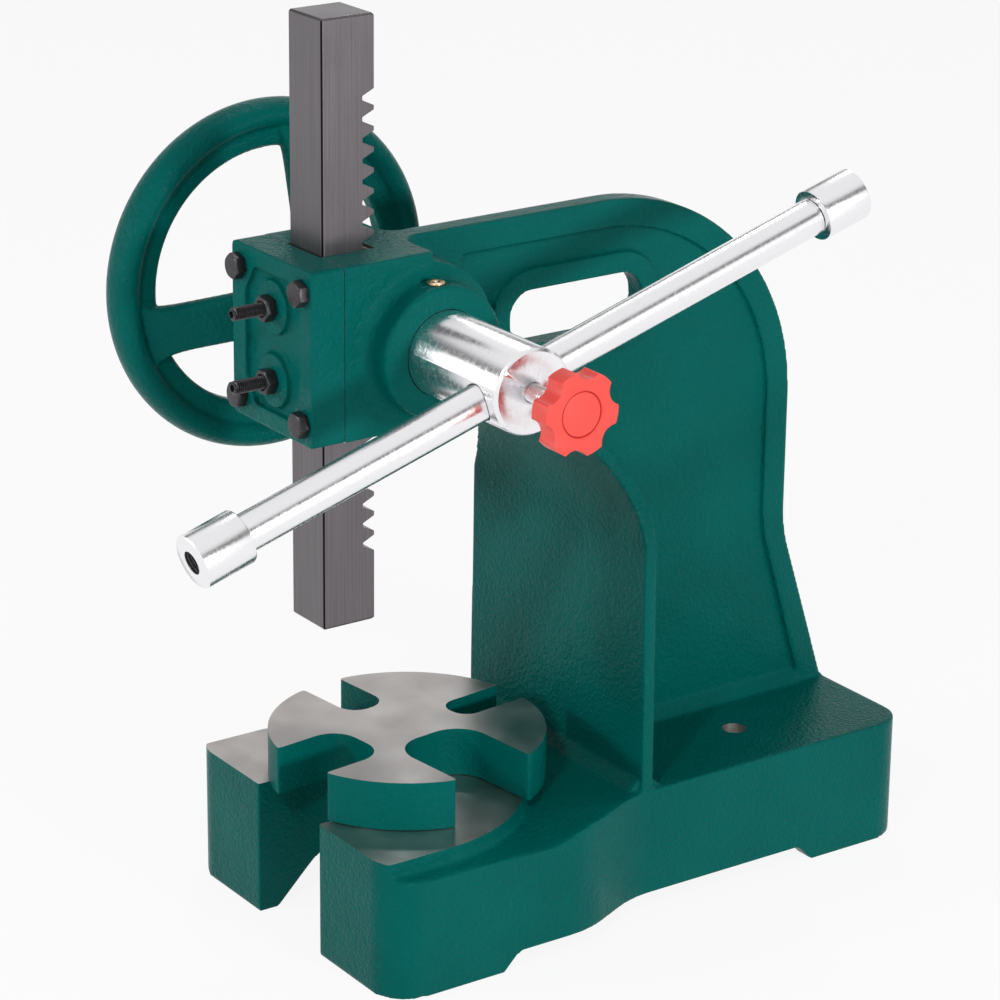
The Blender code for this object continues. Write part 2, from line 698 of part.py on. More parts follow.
def make_frame(material, parent):
    frame = make_base(material, parent)
    for solid in [make_web(parent), make_flange(parent), *make_coves(parent)]:
        join(frame, solid)
    join(frame, make_head(parent))
    join(frame, make_boss(parent))
    hollow_base(frame, parent)
    cut_head(frame, parent)
    return frame


# Cover plate, gib and their screws

def make_cover(material, parent):
    half_x = HEAD_WIDTH / 2
    half_z = (arm_top_z - head_low_z) / 2
    back_y = -(SEAM_Y + SEAT_GAP)

    def framed(inset_x, inset_z, corner):
        x, z = half_x - inset_x, half_z - inset_z
        return rounded([(-x, head_centre_z - z, corner), (x, head_centre_z - z, corner),
                        (x, head_centre_z + z, corner), (-x, head_centre_z + z, corner)])

    cover = prism("cover_plate", framed(0, 0, COVER_CORNER), "Y", cover_face_y, back_y, material, parent,
                  edge_round=COVER_EDGE_ROUND, rounded_ends="low")
    panel_x = half_x - COVER_BORDER_SIDE
    panel_z = half_z - COVER_BORDER_END
    corner = COVER_CORNER
    panel = []
    for sx, sz in ((1, -1), (1, 1), (-1, 1), (-1, -1)):
        on_side = (sx * panel_x, head_centre_z + sz * (panel_z - COVER_NOTCH_Z), corner)
        on_end = (sx * (panel_x - COVER_NOTCH_X), head_centre_z + sz * panel_z, corner)
        panel += [on_side, on_end] if sx == sz else [on_end, on_side]
    recess = prism("cover_recess", rounded(panel), "Y", cover_face_y - OVERRUN, cover_face_y + COVER_RECESS,
                   parent=parent)
    for label, z in gib_screw_places():
        cut(recess, hole("cover_pad_" + label, "Y", (0, z), COVER_PAD_RADIUS,
                         cover_face_y - 2 * OVERRUN, cover_face_y + COVER_RECESS + OVERRUN, parent, ROUND_SIDES))
    cut(cover, recess)
    groove_x = GIB_WIDTH / 2 + SEAT_GAP
    groove_z = GIB_LENGTH / 2 + SEAT_GAP
    groove_y = -(RAM_SIDE / 2 + SLIDE_GAP + GIB_THICKNESS + SEAT_GAP)
    groove = [(-groove_x, head_centre_z - groove_z), (groove_x, head_centre_z - groove_z),
              (groove_x, head_centre_z + groove_z), (-groove_x, head_centre_z + groove_z)]
    cut(cover, prism("gib_groove", groove, "Y", groove_y, back_y + OVERRUN, parent=parent))
    for label, z in gib_screw_places():
        cut(cover, hole("gib_screw_thread_" + label, "Y", (0, z), BOLT_RADIUS + SLIDE_GAP,
                        cover_face_y - OVERRUN, back_y + OVERRUN, parent))
    for index, (x, z) in enumerate(bolt_places()):
        cut(cover, hole(f"cover_bolt_hole_{index + 1}", "Y", (x, z), BOLT_RADIUS + SLIDE_GAP,
                        cover_face_y - OVERRUN, back_y + OVERRUN, parent))


def make_hex_bolt(name, flats, head, radius, reach, axis, material, parent, location, way=1):
    """A hexagon bolt whose head stands on the origin and whose shank runs the way given."""
    edge = radius / 5
    ends = sorted((0, -way * head))
    bolt = prism(name, hexagon(flats), axis, *ends, material, parent, location)
    profile = [(-way * head / 2, 0), (-way * head / 2, radius), (way * (reach - edge), radius),
               (way * reach, radius - edge), (way * reach, 0)]
    shank = turned(name + "_shank", profile, axis, parent=parent, location=location, sides=HOLE_SIDES)
    corner = flats / sqrt(3)
    face = flats / 2 * BOLT_FACE_SHARE
    low = head - (2 * corner - face) * BOLT_CROWN_SLOPE
    high = head + face / 2 * BOLT_CROWN_SLOPE
    dome = turned(name + "_crown", [(way * head, 0), (way * head, 2 * corner), (-way * low, 2 * corner),
                                    (-way * high, face / 2), (-way * high, 0)], axis,
                  parent=parent, location=location)
    combine(bolt, dome, "INTERSECT")
    join(bolt, shank)
    return bolt


def make_cover_bolts(material, parent):
    for index, (x, z) in enumerate(bolt_places()):
        make_hex_bolt(f"cover_bolt_{index + 1}", BOLT_FLATS, BOLT_HEAD, BOLT_RADIUS, BOLT_REACH, "Y", material,
                      parent, (x, cover_face_y - SEAT_GAP, z))


def make_gib(material, parent):
    half_x = GIB_WIDTH / 2
    back = -(RAM_SIDE / 2 + SLIDE_GAP)
    outline = [(-half_x, -GIB_LENGTH / 2), (half_x, -GIB_LENGTH / 2), (half_x, GIB_LENGTH / 2),
               (-half_x, GIB_LENGTH / 2)]
    prism("gib", outline, "Y", back - GIB_THICKNESS, back, material, parent, (0, 0, head_centre_z))


def make_gib_screws(material, parent):
    """Two set screws with a socket in the outer end, each locked by a nut."""
    tip = -GIB_SCREW_TIP_Y
    foot = -(RAM_SIDE / 2 + SLIDE_GAP + GIB_THICKNESS + SEAT_GAP)
    edge = BOLT_RADIUS / 5
    nut_back = cover_face_y - SEAT_GAP
    for label, z in gib_screw_places():
        profile = [(tip, 0), (tip, BOLT_RADIUS - edge), (tip + edge, BOLT_RADIUS), (foot - edge, BOLT_RADIUS),
                   (foot, BOLT_RADIUS - edge), (foot, 0)]
        screw = turned("gib_screw_" + label, profile, "Y", material, parent, (0, 0, z), sides=HOLE_SIDES)
        cut(screw, prism("gib_screw_socket_" + label, hexagon(SOCKET_FLATS, (0, z)), "Y",
                         tip - OVERRUN, tip + SOCKET_DEPTH, parent=parent))
        nut = prism("jam_nut_" + label, hexagon(BOLT_FLATS), "Y", nut_back - JAM_NUT_THICKNESS, nut_back,
                    material, parent, (0, 0, z))
        cut(nut, hole("jam_nut_thread_" + label, "Y", (0, z), BOLT_RADIUS + SLIDE_GAP,
                      nut_back - JAM_NUT_THICKNESS - OVERRUN, nut_back + OVERRUN, parent))


# Ram and pinion

def gullet_height(index):
    """A gullet's middle above the ram's nose, counted from the lowest."""
    margin = (RAM_LENGTH - (RACK_GULLETS - 1) * rack_pitch) / 2
    return margin + index * rack_pitch


def make_ram(material, parent):
    """A square bar, its back cut into rack teeth. Its side view is extruded across its width."""
    half = RAM_SIDE / 2
    slope = tan(PRESSURE_ANGLE)
    mouth = rack_pitch / 4 + BACKLASH / 4 + addendum * slope
    floor = rack_pitch / 4 + BACKLASH / 4 - dedendum * slope
    depth = addendum + dedendum
    corners = [(-half, 0), (half, 0)]
    for index in range(RACK_GULLETS):
        z = gullet_height(index)
        corners += [(half, z - mouth), (half - depth, z - floor, GULLET_ROUND),
                    (half - depth, z + floor, GULLET_ROUND), (half, z + mouth)]
    corners += [(half, RAM_LENGTH), (-half, RAM_LENGTH)]
    builder = prism_mesh(rounded(corners), "X", -half, half)
    bmesh.ops.recalc_face_normals(builder, faces=builder.faces)
    eased = []
    for edge in builder.edges:
        ends = [vertex.co for vertex in edge.verts]
        on_front = all(end.y < SAME_POINT - half for end in ends) and abs(ends[0].x - ends[1].x) < SAME_POINT
        on_nose = all(end.z < SAME_POINT for end in ends)
        on_top = all(end.z > RAM_LENGTH - SAME_POINT for end in ends)
        if on_front or on_nose or on_top:
            eased.append(edge)
    bmesh.ops.bevel(builder, geom=eased, offset=RAM_CHAMFER, segments=1, profile=0.5, affect="EDGES", material=-1)
    make_object("ram", builder, material, parent, (0, 0, ram_nose_z))


def involute(angle):
    return tan(angle) - angle


def pinion_outline():
    """Involute teeth in outline, the first pointing along -Y, turned into mesh with the rack at rest."""
    base_radius = pitch_radius * cos(PRESSURE_ANGLE)
    tip_radius = pitch_radius + addendum
    root_radius = pitch_radius - dedendum
    half_tooth = (rack_pitch / 2 - BACKLASH / 2) / (2 * pitch_radius)
    nearest = round((SHAFT_HEIGHT - ram_nose_z - gullet_height(0)) / rack_pitch)
    offset = ram_nose_z + gullet_height(nearest) - SHAFT_HEIGHT
    first = pi - offset / pitch_radius
    flank = []
    for step in range(FLANK_POINTS):
        radius = base_radius + (tip_radius - base_radius) * step / (FLANK_POINTS - 1)
        pressure = acos(base_radius / radius)
        flank.append((radius, half_tooth + involute(PRESSURE_ANGLE) - involute(pressure)))
    foot = (root_radius, flank[0][1])
    points = []
    for tooth in range(PINION_TEETH):
        middle = first + 2 * pi * tooth / PINION_TEETH
        side = [foot] + flank
        points += [(radius, middle - turn) for radius, turn in side]
        points += [(radius, middle + turn) for radius, turn in reversed(side)]
    return [(radius * cos(angle), radius * sin(angle)) for radius, angle in points]


def make_shaft(material, axis, lever_axis):
    """One piece: the bright handle end, the teeth, the journal and the wheel's seat."""
    half_teeth = PINION_WIDTH / 2
    journal_end = -(boss_face_x + SEAT_GAP)
    wheel_end = journal_end - WHEEL_SEAT_LENGTH
    edge = SHAFT_CHAMFER
    core = pitch_radius - dedendum
    profile = [(wheel_end, 0), (wheel_end, WHEEL_SEAT_RADIUS), (journal_end, WHEEL_SEAT_RADIUS),
               (journal_end, JOURNAL_RADIUS), (-half_teeth - SEAT_GAP, JOURNAL_RADIUS), (-half_teeth - SEAT_GAP, core),
               (half_teeth, core), (half_teeth, SHAFT_RADIUS), (SHAFT_END_X - edge, SHAFT_RADIUS),
               (SHAFT_END_X, SHAFT_RADIUS - edge), (SHAFT_END_X, 0)]
    shaft = turned("pinion_shaft", profile, "X", material, axis)
    join(shaft, prism("pinion_teeth", pinion_outline(), "X", -half_teeth, half_teeth + OVERRUN, parent=axis))
    reach = SHAFT_RADIUS + OVERRUN
    cut(shaft, hole("lever_hole", "Y", (0, 0), LEVER_RADIUS + SLIDE_GAP, -reach, reach, lever_axis, ROUND_SIDES))
    cut(shaft, hole("stud_thread", "X", (0, 0), STUD_RADIUS + SLIDE_GAP, LEVER_X, SHAFT_END_X + OVERRUN, axis))
    cut(shaft, hole("wheel_bolt_thread", "X", (0, 0), WHEEL_BOLT_RADIUS + SLIDE_GAP, wheel_end - OVERRUN,
                    wheel_end + WHEEL_BOLT_LENGTH, axis))
    seat = WHEEL_SEAT_RADIUS - KEY_SIDE / 2
    half_key = KEY_SIDE / 2 + SEAT_GAP
    outline = [(-half_key, seat - SEAT_GAP), (half_key, seat - SEAT_GAP), (half_key, 2 * WHEEL_SEAT_RADIUS),
               (-half_key, 2 * WHEEL_SEAT_RADIUS)]
    cut(shaft, prism("key_seat", outline, "X", wheel_end - OVERRUN, wheel_end + KEY_LENGTH + SEAT_GAP,
                     parent=axis))


# Lever, clamp stud and star knob

def make_lever(steel, lever_axis):
    front = -(LEVER_FRONT_REACH - CAP_LENGTH)
    rear = LEVER_REAR_REACH - CAP_LENGTH
    spigot = LEVER_SPIGOT_LENGTH
    profile = [(front - spigot, 0), (front - spigot, LEVER_SPIGOT_RADIUS), (front, LEVER_SPIGOT_RADIUS),
               (front, LEVER_RADIUS), (rear, LEVER_RADIUS), (rear, LEVER_SPIGOT_RADIUS),
               (rear + spigot, LEVER_SPIGOT_RADIUS), (rear + spigot, 0)]
    turned("lever_rod", profile, "Y", steel, lever_axis)
    edge = CAP_CHAMFER
    bore = LEVER_SPIGOT_RADIUS + SLIDE_GAP
    length = CAP_LENGTH - SEAT_GAP
    cap = [(0, bore), (0, CAP_RADIUS - edge), (edge, CAP_RADIUS), (length - edge, CAP_RADIUS),
           (length, CAP_RADIUS - edge), (length, bore)]
    turned("lever_cap_front", cap, "Y", steel, lever_axis, (0, -LEVER_FRONT_REACH, 0))
    turned("lever_cap_rear", cap, "Y", steel, lever_axis, (0, rear + SEAT_GAP, 0))


def make_clamp(steel, red, axis):
    knob_back = KNOB_FACE_X - KNOB_THICKNESS
    stud_end = KNOB_FACE_X - KNOB_CAP_SUNK - KNOB_CAP_THICKNESS - KNOB_WALL
    stud_start = LEVER_X + LEVER_RADIUS + SEAT_GAP
    edge = STUD_CHAMFER
    profile = [(stud_start, 0), (stud_start, STUD_RADIUS - edge), (stud_start + edge, STUD_RADIUS),
               (stud_end, STUD_RADIUS), (stud_end, 0)]
    turned("clamp_stud", profile, "X", steel, axis, sides=24)

    outline = []
    points_per_lobe = 12
    for step in range(KNOB_LOBES * points_per_lobe):
        angle = 2 * pi * step / (KNOB_LOBES * points_per_lobe)
        radius = KNOB_RADIUS + KNOB_LOBE_RISE * cos(KNOB_LOBES * (angle - KNOB_TURN))
        outline.append((radius * cos(angle), radius * sin(angle)))
    knob = prism("star_knob", outline, "X", knob_back, KNOB_FACE_X, red, axis, edge_round=KNOB_EDGE_ROUND)
    cap_seat = KNOB_FACE_X - KNOB_CAP_SUNK - KNOB_CAP_THICKNESS
    cut(knob, hole("knob_thread", "X", (0, 0), STUD_RADIUS + SLIDE_GAP, knob_back - OVERRUN, stud_end + SEAT_GAP,
                   axis))
    cut(knob, hole("knob_cap_seat", "X", (0, 0), KNOB_CAP_RADIUS + SEAT_GAP, cap_seat, KNOB_FACE_X + OVERRUN,
                   axis, ROUND_SIDES))
    cap_low = cap_seat + SEAT_GAP
    cap_high = cap_seat + KNOB_CAP_THICKNESS
    turned("knob_cap", [(cap_low, 0), (cap_low, KNOB_CAP_RADIUS), (cap_high, KNOB_CAP_RADIUS), (cap_high, 0)],
           "X", red, axis)


# Hand wheel and what holds it on the shaft

def make_wheel(green, steel, black, axis):
    hub_high = -(boss_face_x + 2 * SEAT_GAP)
    hub_low = hub_high - WHEEL_HUB_LENGTH
    rim_sides = 10
    rim = []
    for step in range(rim_sides):
        angle = 2 * pi * step / rim_sides
        rim.append((WHEEL_RIM_X + WHEEL_RIM_ROUND * cos(angle), WHEEL_RADIUS + WHEEL_RIM_ROUND * sin(angle)))
    wheel = turned("hand_wheel", rim, "X", green, axis, sides=48)
    edge = WHEEL_HUB_RADIUS / 12
    hub = [(hub_low, 0), (hub_low, WHEEL_HUB_RADIUS - edge), (hub_low + edge, WHEEL_HUB_RADIUS),
           (hub_high - edge, WHEEL_HUB_RADIUS), (hub_high, WHEEL_HUB_RADIUS - edge), (hub_high, 0)]
    hub = turned("wheel_hub", hub, "X", parent=axis)

    root_x = hub_high - SPOKE_ROOT_SETBACK
    for spoke in range(WHEEL_SPOKES):
        angle = WHEEL_SPOKE_ANGLE + 2 * pi * spoke / WHEEL_SPOKES
        builder = bmesh.new()
        rings = []
        for share in (0, 0.12, 0.3, 0.55, 0.8, 0.92, 1):
            radius = SPOKE_ROOT_RADIUS + (WHEEL_RADIUS - SPOKE_ROOT_RADIUS) * share
            flare = SPOKE_FLARE * (abs(2 * share - 1) ** 3)
            half = SPOKE_WIDTH / 2 + flare
            x = root_x + (WHEEL_RIM_X - root_x) * share
            ring = []
            for across, thick in ((-1, -0.5), (-0.8, -1), (0.8, -1), (1, -0.5), (1, 0.5), (0.8, 1), (-0.8, 1),
                                  (-1, 0.5)):
                u = radius * cos(angle) - across * half * sin(angle)
                v = radius * sin(angle) + across * half * cos(angle)
                ring.append(builder.verts.new((x + thick * SPOKE_THICKNESS / 2, u, v)))
            rings.append(ring)
        for first, second in zip(rings, rings[1:]):
            for i in range(8):
                j = (i + 1) % 8
                builder.faces.new((first[i], first[j], second[j], second[i]))
        builder.faces.new(rings[0])
        builder.faces.new(rings[-1])
        join(wheel, make_object(f"spoke_{spoke + 1}", builder, parent=axis))
    join(wheel, hub)
    cut(wheel, hole("wheel_bore", "X", (0, 0), WHEEL_SEAT_RADIUS + SLIDE_GAP, hub_low - 3 * WHEEL_HUB_LENGTH,
                    hub_high + OVERRUN, axis, ROUND_SIDES))
    seat = WHEEL_SEAT_RADIUS - KEY_SIDE / 2
    half_key = KEY_SIDE / 2
    slot = half_key + SEAT_GAP
    top = seat + KEY_SIDE
    way = [(-slot, 0), (slot, 0), (slot, top + SEAT_GAP), (-slot, top + SEAT_GAP)]
    cut(wheel, prism("key_way", way, "X", hub_low - OVERRUN, hub_high + OVERRUN, parent=axis))

    wheel_end = -(boss_face_x + SEAT_GAP + WHEEL_SEAT_LENGTH)
    key_low = hub_low + SEAT_GAP
    key = [(-half_key, seat), (half_key, seat), (half_key, top), (-half_key, top)]
    prism("wheel_key", key, "X", key_low, wheel_end + KEY_LENGTH, steel, axis)
    washer_high = min(hub_low, wheel_end) - SEAT_GAP
    washer_low = washer_high - WASHER_THICKNESS
    bore = WHEEL_BOLT_RADIUS + SLIDE_GAP
    turned("wheel_washer", [(washer_low, bore), (washer_low, WASHER_RADIUS), (washer_high, WASHER_RADIUS),
                            (washer_high, bore)], "X", steel, axis)
    make_hex_bolt("wheel_bolt", WHEEL_BOLT_FLATS, WHEEL_BOLT_HEAD, WHEEL_BOLT_RADIUS, WHEEL_BOLT_LENGTH, "X",
                  black, axis, (washer_low - SEAT_GAP, 0, 0))


# Table plate and pivot pin

def plate_outline():
    """A disc with four notches, clockwise from the one under the ram in widths, counted anticlockwise."""
    corners = []
    for index, width in enumerate(NOTCH_WIDTHS):
        half = width / 2
        inner = NOTCH_INNER_RADII[index]
        corner = NOTCH_INNER_ROUNDS[index]
        turn = -pi / 2 + index * pi / 2
        mouth = sqrt(PLATE_RADIUS ** 2 - half ** 2)
        ways = [(mouth, -half), (inner, -half, corner), (inner, half, corner), (mouth, half)]
        corners += [(along * cos(turn) - across * sin(turn), along * sin(turn) + across * cos(turn), *rest)
                    for along, across, *rest in ways]
        next_half = NOTCH_WIDTHS[(index + 1) % 4] / 2
        start = turn + atan2(half, mouth)
        end = turn + pi / 2 - atan2(next_half, sqrt(PLATE_RADIUS ** 2 - next_half ** 2))
        steps = arc_steps(PLATE_RADIUS, end - start)
        corners += [(PLATE_RADIUS * cos(start + (end - start) * step / steps),
                     PLATE_RADIUS * sin(start + (end - start) * step / steps)) for step in range(1, steps)]
    return rounded(corners)


def make_table(iron, steel, black, parent):
    axis = make_empty("plate_axis", parent, (0, PLATE_CENTRE_Y, 0), (0, 0, PLATE_TURN))
    plate = prism("table_plate", plate_outline(), "Z", plate_low, plate_low + PLATE_THICKNESS, iron, axis,
                  edge_round=PLATE_EDGE_ROUND)
    pin_top = plate_low + PIN_DEPTH_IN_PLATE
    cut(plate, hole("plate_pin_hole", "Z", (0, 0), PIN_RADIUS + SLIDE_GAP, plate_low - OVERRUN, pin_top + SEAT_GAP,
                    axis))
    nut_high = SLOT_WALL_RISE - SEAT_GAP
    nut_low = nut_high - PIN_NUT_THICKNESS
    pin_low = nut_low - PIN_THREAD_END
    edge = PIN_RADIUS / 6
    turned("table_pin", [(pin_low, 0), (pin_low, PIN_RADIUS - edge), (pin_low + edge, PIN_RADIUS),
                         (pin_top - edge, PIN_RADIUS), (pin_top, PIN_RADIUS - edge), (pin_top, 0)],
           "Z", steel, parent, (0, PLATE_CENTRE_Y, 0), sides=24)
    nut = prism("table_pin_nut", hexagon(PIN_NUT_FLATS), "Z", nut_low, nut_high, black, parent,
                (0, PLATE_CENTRE_Y, 0))
    cut(nut, hole("pin_nut_thread", "Z", (0, PLATE_CENTRE_Y), PIN_RADIUS + SLIDE_GAP, nut_low - OVERRUN,
                  nut_high + OVERRUN, parent))


# Ball oiler

def make_oiler(brass, steel, parent):
    seat = SHAFT_HEIGHT + BOSS_RADIUS - OILER_RISE + SEAT_GAP
    top = seat + OILER_RISE
    ball_z = top - OILER_BALL_RADIUS
    pocket = OILER_BALL_RADIUS + SLIDE_GAP
    outer = OILER_RADIUS
    stem = OILER_STEM_RADIUS
    low = seat - OILER_STEM_LENGTH
    profile = [(low, pocket / 2), (low, stem), (seat, stem), (seat, outer), (top, outer * 0.9), (top, pocket),
               (ball_z - pocket, pocket), (ball_z - pocket, pocket / 2)]
    place_at = (OILER_X, shaft_y, 0)
    turned("oiler_cup", profile, "Z", brass, parent, place_at, sides=24)
    ball = [(ball_z - OILER_BALL_RADIUS, 0)]
    for step in range(1, 8):
        turn = pi * step / 8
        ball.append((ball_z - OILER_BALL_RADIUS * cos(turn), OILER_BALL_RADIUS * sin(turn)))
    ball.append((ball_z + OILER_BALL_RADIUS, 0))
    turned("oiler_ball", ball, "Z", steel, parent, place_at, sides=16)


def main():
    for old in list(bpy.data.objects):
        bpy.data.objects.remove(old)

    green = make_material("green_enamel", "0B5D50", 0.35, 0)
    iron = make_material("machined_iron", "8D8886", 0.4, 1)
    dark = make_material("ground_steel", "5B595B", 0.38, 1)
    bright = make_material("plated_steel", "D5D6DA", 0.15, 1)
    black = make_material("black_oxide", "2E2B2D", 0.4, 0.8)
    red = make_material("red_plastic", "E8483F", 0.4, 0)
    brass = make_material("brass", "C9A063", 0.3, 1)

    root = make_empty("press", None, (0, -base_datum_y, 0))
    shaft_axis = make_empty("shaft_axis", root, (0, shaft_y, SHAFT_HEIGHT))
    lever_axis = make_empty("lever_axis", shaft_axis, (LEVER_X, 0, 0), (LEVER_TILT, 0, 0))

    make_frame(green, root)
    make_cover(green, root)
    make_cover_bolts(black, root)
    make_gib(brass, root)
    make_gib_screws(black, root)
    make_ram(dark, root)
    make_shaft(bright, shaft_axis, lever_axis)
    make_lever(bright, lever_axis)
    make_clamp(bright, red, shaft_axis)
    make_wheel(green, bright, black, shaft_axis)
    make_table(iron, bright, black, root)
    make_oiler(brass, dark, root)


main()
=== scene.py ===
"""Looks of the arbor press: cast and enamelled frame, ground ram, bright shaft and lever, red star knob."""

from math import cos, pi, radians, sin, sqrt, tan

import bmesh
import bpy
from mathutils import Matrix, Vector


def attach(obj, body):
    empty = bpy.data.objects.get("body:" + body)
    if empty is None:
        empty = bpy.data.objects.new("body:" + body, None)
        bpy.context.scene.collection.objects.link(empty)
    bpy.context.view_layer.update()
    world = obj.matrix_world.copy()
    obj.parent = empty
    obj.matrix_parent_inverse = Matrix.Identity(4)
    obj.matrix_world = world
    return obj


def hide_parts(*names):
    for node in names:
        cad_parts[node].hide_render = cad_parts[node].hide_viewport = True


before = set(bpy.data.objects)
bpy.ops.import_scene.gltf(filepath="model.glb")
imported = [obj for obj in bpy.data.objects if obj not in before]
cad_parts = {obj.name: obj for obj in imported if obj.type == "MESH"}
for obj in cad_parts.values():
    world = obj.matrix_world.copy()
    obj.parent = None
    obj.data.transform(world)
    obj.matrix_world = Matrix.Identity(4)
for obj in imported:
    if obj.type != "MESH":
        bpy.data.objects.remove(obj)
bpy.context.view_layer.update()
bpy.context.scene.view_settings.view_transform = "Standard"


# Camera and studio. The camera stands where the photograph was taken from, to the right of the front.
# Pale paper carries the press. The room's light is soft, and four lamps draw the edges and the metal's shine.

def colour(code):
    """An sRGB hex colour as linear light, with alpha."""
    channels = [int(code[i:i + 2], 16) / 255 for i in (0, 2, 4)]
    return tuple(c / 12.92 if c <= 0.04045 else ((c + 0.055) / 1.055) ** 2.4 for c in channels) + (1,)


def add_node(material, kind, inputs=None, **settings):
    """A node with its settings. An input is a value, or an output to link from."""
    new = material.node_tree.nodes.new(kind)
    for name, value in settings.items():
        setattr(new, name, value)
    for name, value in (inputs or {}).items():
        if isinstance(value, bpy.types.NodeSocket):
            material.node_tree.links.new(value, new.inputs[name])
        else:
            new.inputs[name].default_value = value
    return new


def new_material(name, **surface):
    """A Principled material and its shader, with constants set on the shader's own sockets."""
    material = bpy.data.materials.new(name)
    material.use_nodes = True
    shader = material.node_tree.nodes["Principled BSDF"]
    for socket, value in surface.items():
        shader.inputs[socket.replace("_", " ")].default_value = value
    return material, shader


def feed(shader, socket, output):
    """Links an output to one of the shader's sockets."""
    shader.id_data.links.new(output, shader.inputs[socket])


camera_target = Vector((0, -0.2416, 0.22146))
camera_azimuth = radians(33.179)
camera_height = radians(18.897)
camera_distance = 1.5233
away = Vector((cos(camera_height) * cos(camera_azimuth), -cos(camera_height) * sin(camera_azimuth),
               sin(camera_height)))
camera = bpy.data.objects.new("camera", bpy.data.cameras.new("camera"))
bpy.context.collection.objects.link(camera)
camera.location = camera_target + away * camera_distance
camera.rotation_euler = (-away).to_track_quat("-Z", "Y").to_euler()
camera.data.sensor_width = 36
camera.data.lens = 129.17
camera.data.shift_x = 0.1205
camera.data.shift_y = -0.0649
camera.data.clip_end = 50
bpy.context.scene.camera = camera

floor_mesh = bmesh.new()
bmesh.ops.create_grid(floor_mesh, x_segments=2, y_segments=2, size=6)
floor_data = bpy.data.meshes.new("floor")
floor_mesh.to_mesh(floor_data)
floor_mesh.free()
floor = bpy.data.objects.new("floor", floor_data)
bpy.context.collection.objects.link(floor)
floor.location = (0, 0, -0.0002)
paper, paper_shader = new_material("studio_paper", Roughness=0.9)
paper_shader.inputs["Base Color"].default_value = colour("F2F2F2")
floor_data.materials.append(paper)
light_path = add_node(paper, "ShaderNodeLightPath")
glow = add_node(paper, "ShaderNodeEmission", {"Color": (1, 1, 1, 1), "Strength": 1.0})
to_eye = add_node(paper, "ShaderNodeMath", {0: light_path.outputs["Is Camera Ray"],
                                            1: light_path.outputs["Is Glossy Ray"]}, operation="MAXIMUM")
mostly = add_node(paper, "ShaderNodeMapRange", {"Value": to_eye.outputs[0], "To Min": 0.22, "To Max": 0.9})
paper_mix = add_node(paper, "ShaderNodeMixShader", {0: mostly.outputs[0], 1: paper_shader.outputs[0],
                                                    2: glow.outputs[0]})
paper.node_tree.links.new(paper_mix.outputs[0], paper.node_tree.nodes["Material Output"].inputs["Surface"])

world = bpy.data.worlds.new("studio")
bpy.context.scene.world = world
world.use_nodes = True
background = world.node_tree.nodes["Background"]
background.inputs["Color"].default_value = (1, 1, 1, 1)
seen = add_node(world, "ShaderNodeLightPath")
sky = add_node(world, "ShaderNodeTexCoord")
rise = add_node(world, "ShaderNodeSeparateXYZ", {"Vector": sky.outputs["Generated"]})
boxes = add_node(world, "ShaderNodeValToRGB", {"Fac": rise.outputs["Z"]})
boxes.color_ramp.elements[0].position = 0.34
boxes.color_ramp.elements[1].position = 0.80
boxes.color_ramp.elements[1].color = (0.9, 0.9, 0.9, 1)
boxes.color_ramp.elements[0].color = (1, 1, 1, 1)
for position, level in ((0.45, 0.16), (0.60, 0.2), (0.70, 0.8)):
    boxes.color_ramp.elements.new(position).color = (level, level, level, 1)
lit = add_node(world, "ShaderNodeMix", {0: seen.outputs["Is Glossy Ray"], 2: 0.36, 3: boxes.outputs["Color"]})
strength = add_node(world, "ShaderNodeMix", {0: seen.outputs["Is Camera Ray"], 2: lit.outputs[0], 3: 1.0})
world.node_tree.links.new(strength.outputs[0], background.inputs["Strength"])

for name, place, size, power in (("side_light", (1.8, 0.0, 0.55), 0.2, 14),
                                 ("front_light", (-0.6, -1.7, 0.7), 0.25, 7),
                                 ("camera_light", (0.75, -1.15, 1.05), 0.1, 4.5),
                                 ("back_light", (-0.9, 0.5, 1.5), 0.14, 3)):
    lamp = bpy.data.lights.new(name, "AREA")
    lamp.size = size
    lamp.energy = power
    lamp_object = bpy.data.objects.new(name, lamp)
    bpy.context.collection.objects.link(lamp_object)
    lamp_object.location = place
    lamp_object.rotation_euler = (camera_target - Vector(place)).to_track_quat("-Z", "Y").to_euler()


# Frame casting. Sand-cast grey iron in one piece: a base with an open slot, a flange and web, and the head.
# It is filled and sprayed with dark green enamel, then the table pad is milled and the bores are drilled.

datum = Vector((0, -0.26525, 0))
shaft_centre = Vector((0, 0.02558, 0.2699))

base_front = -0.0235
base_back = 0.2700
base_top = 0.0575
pad_top = 0.0618
table_y = 0.0381
milling_stock = 0.0025
head_half = 0.0312
head_bottom = 0.2335
arm_top = 0.3088
head_front = -0.0135
flange_front = 0.1176
flange_thickness = 0.0063
flange_back = flange_front + flange_thickness
throat_round = 0.0620
channel_half = 0.01295


def on_axis(axis, u, v, along):
    return {"X": (along, u, v), "Y": (u, along, v), "Z": (u, v, along)}[axis]


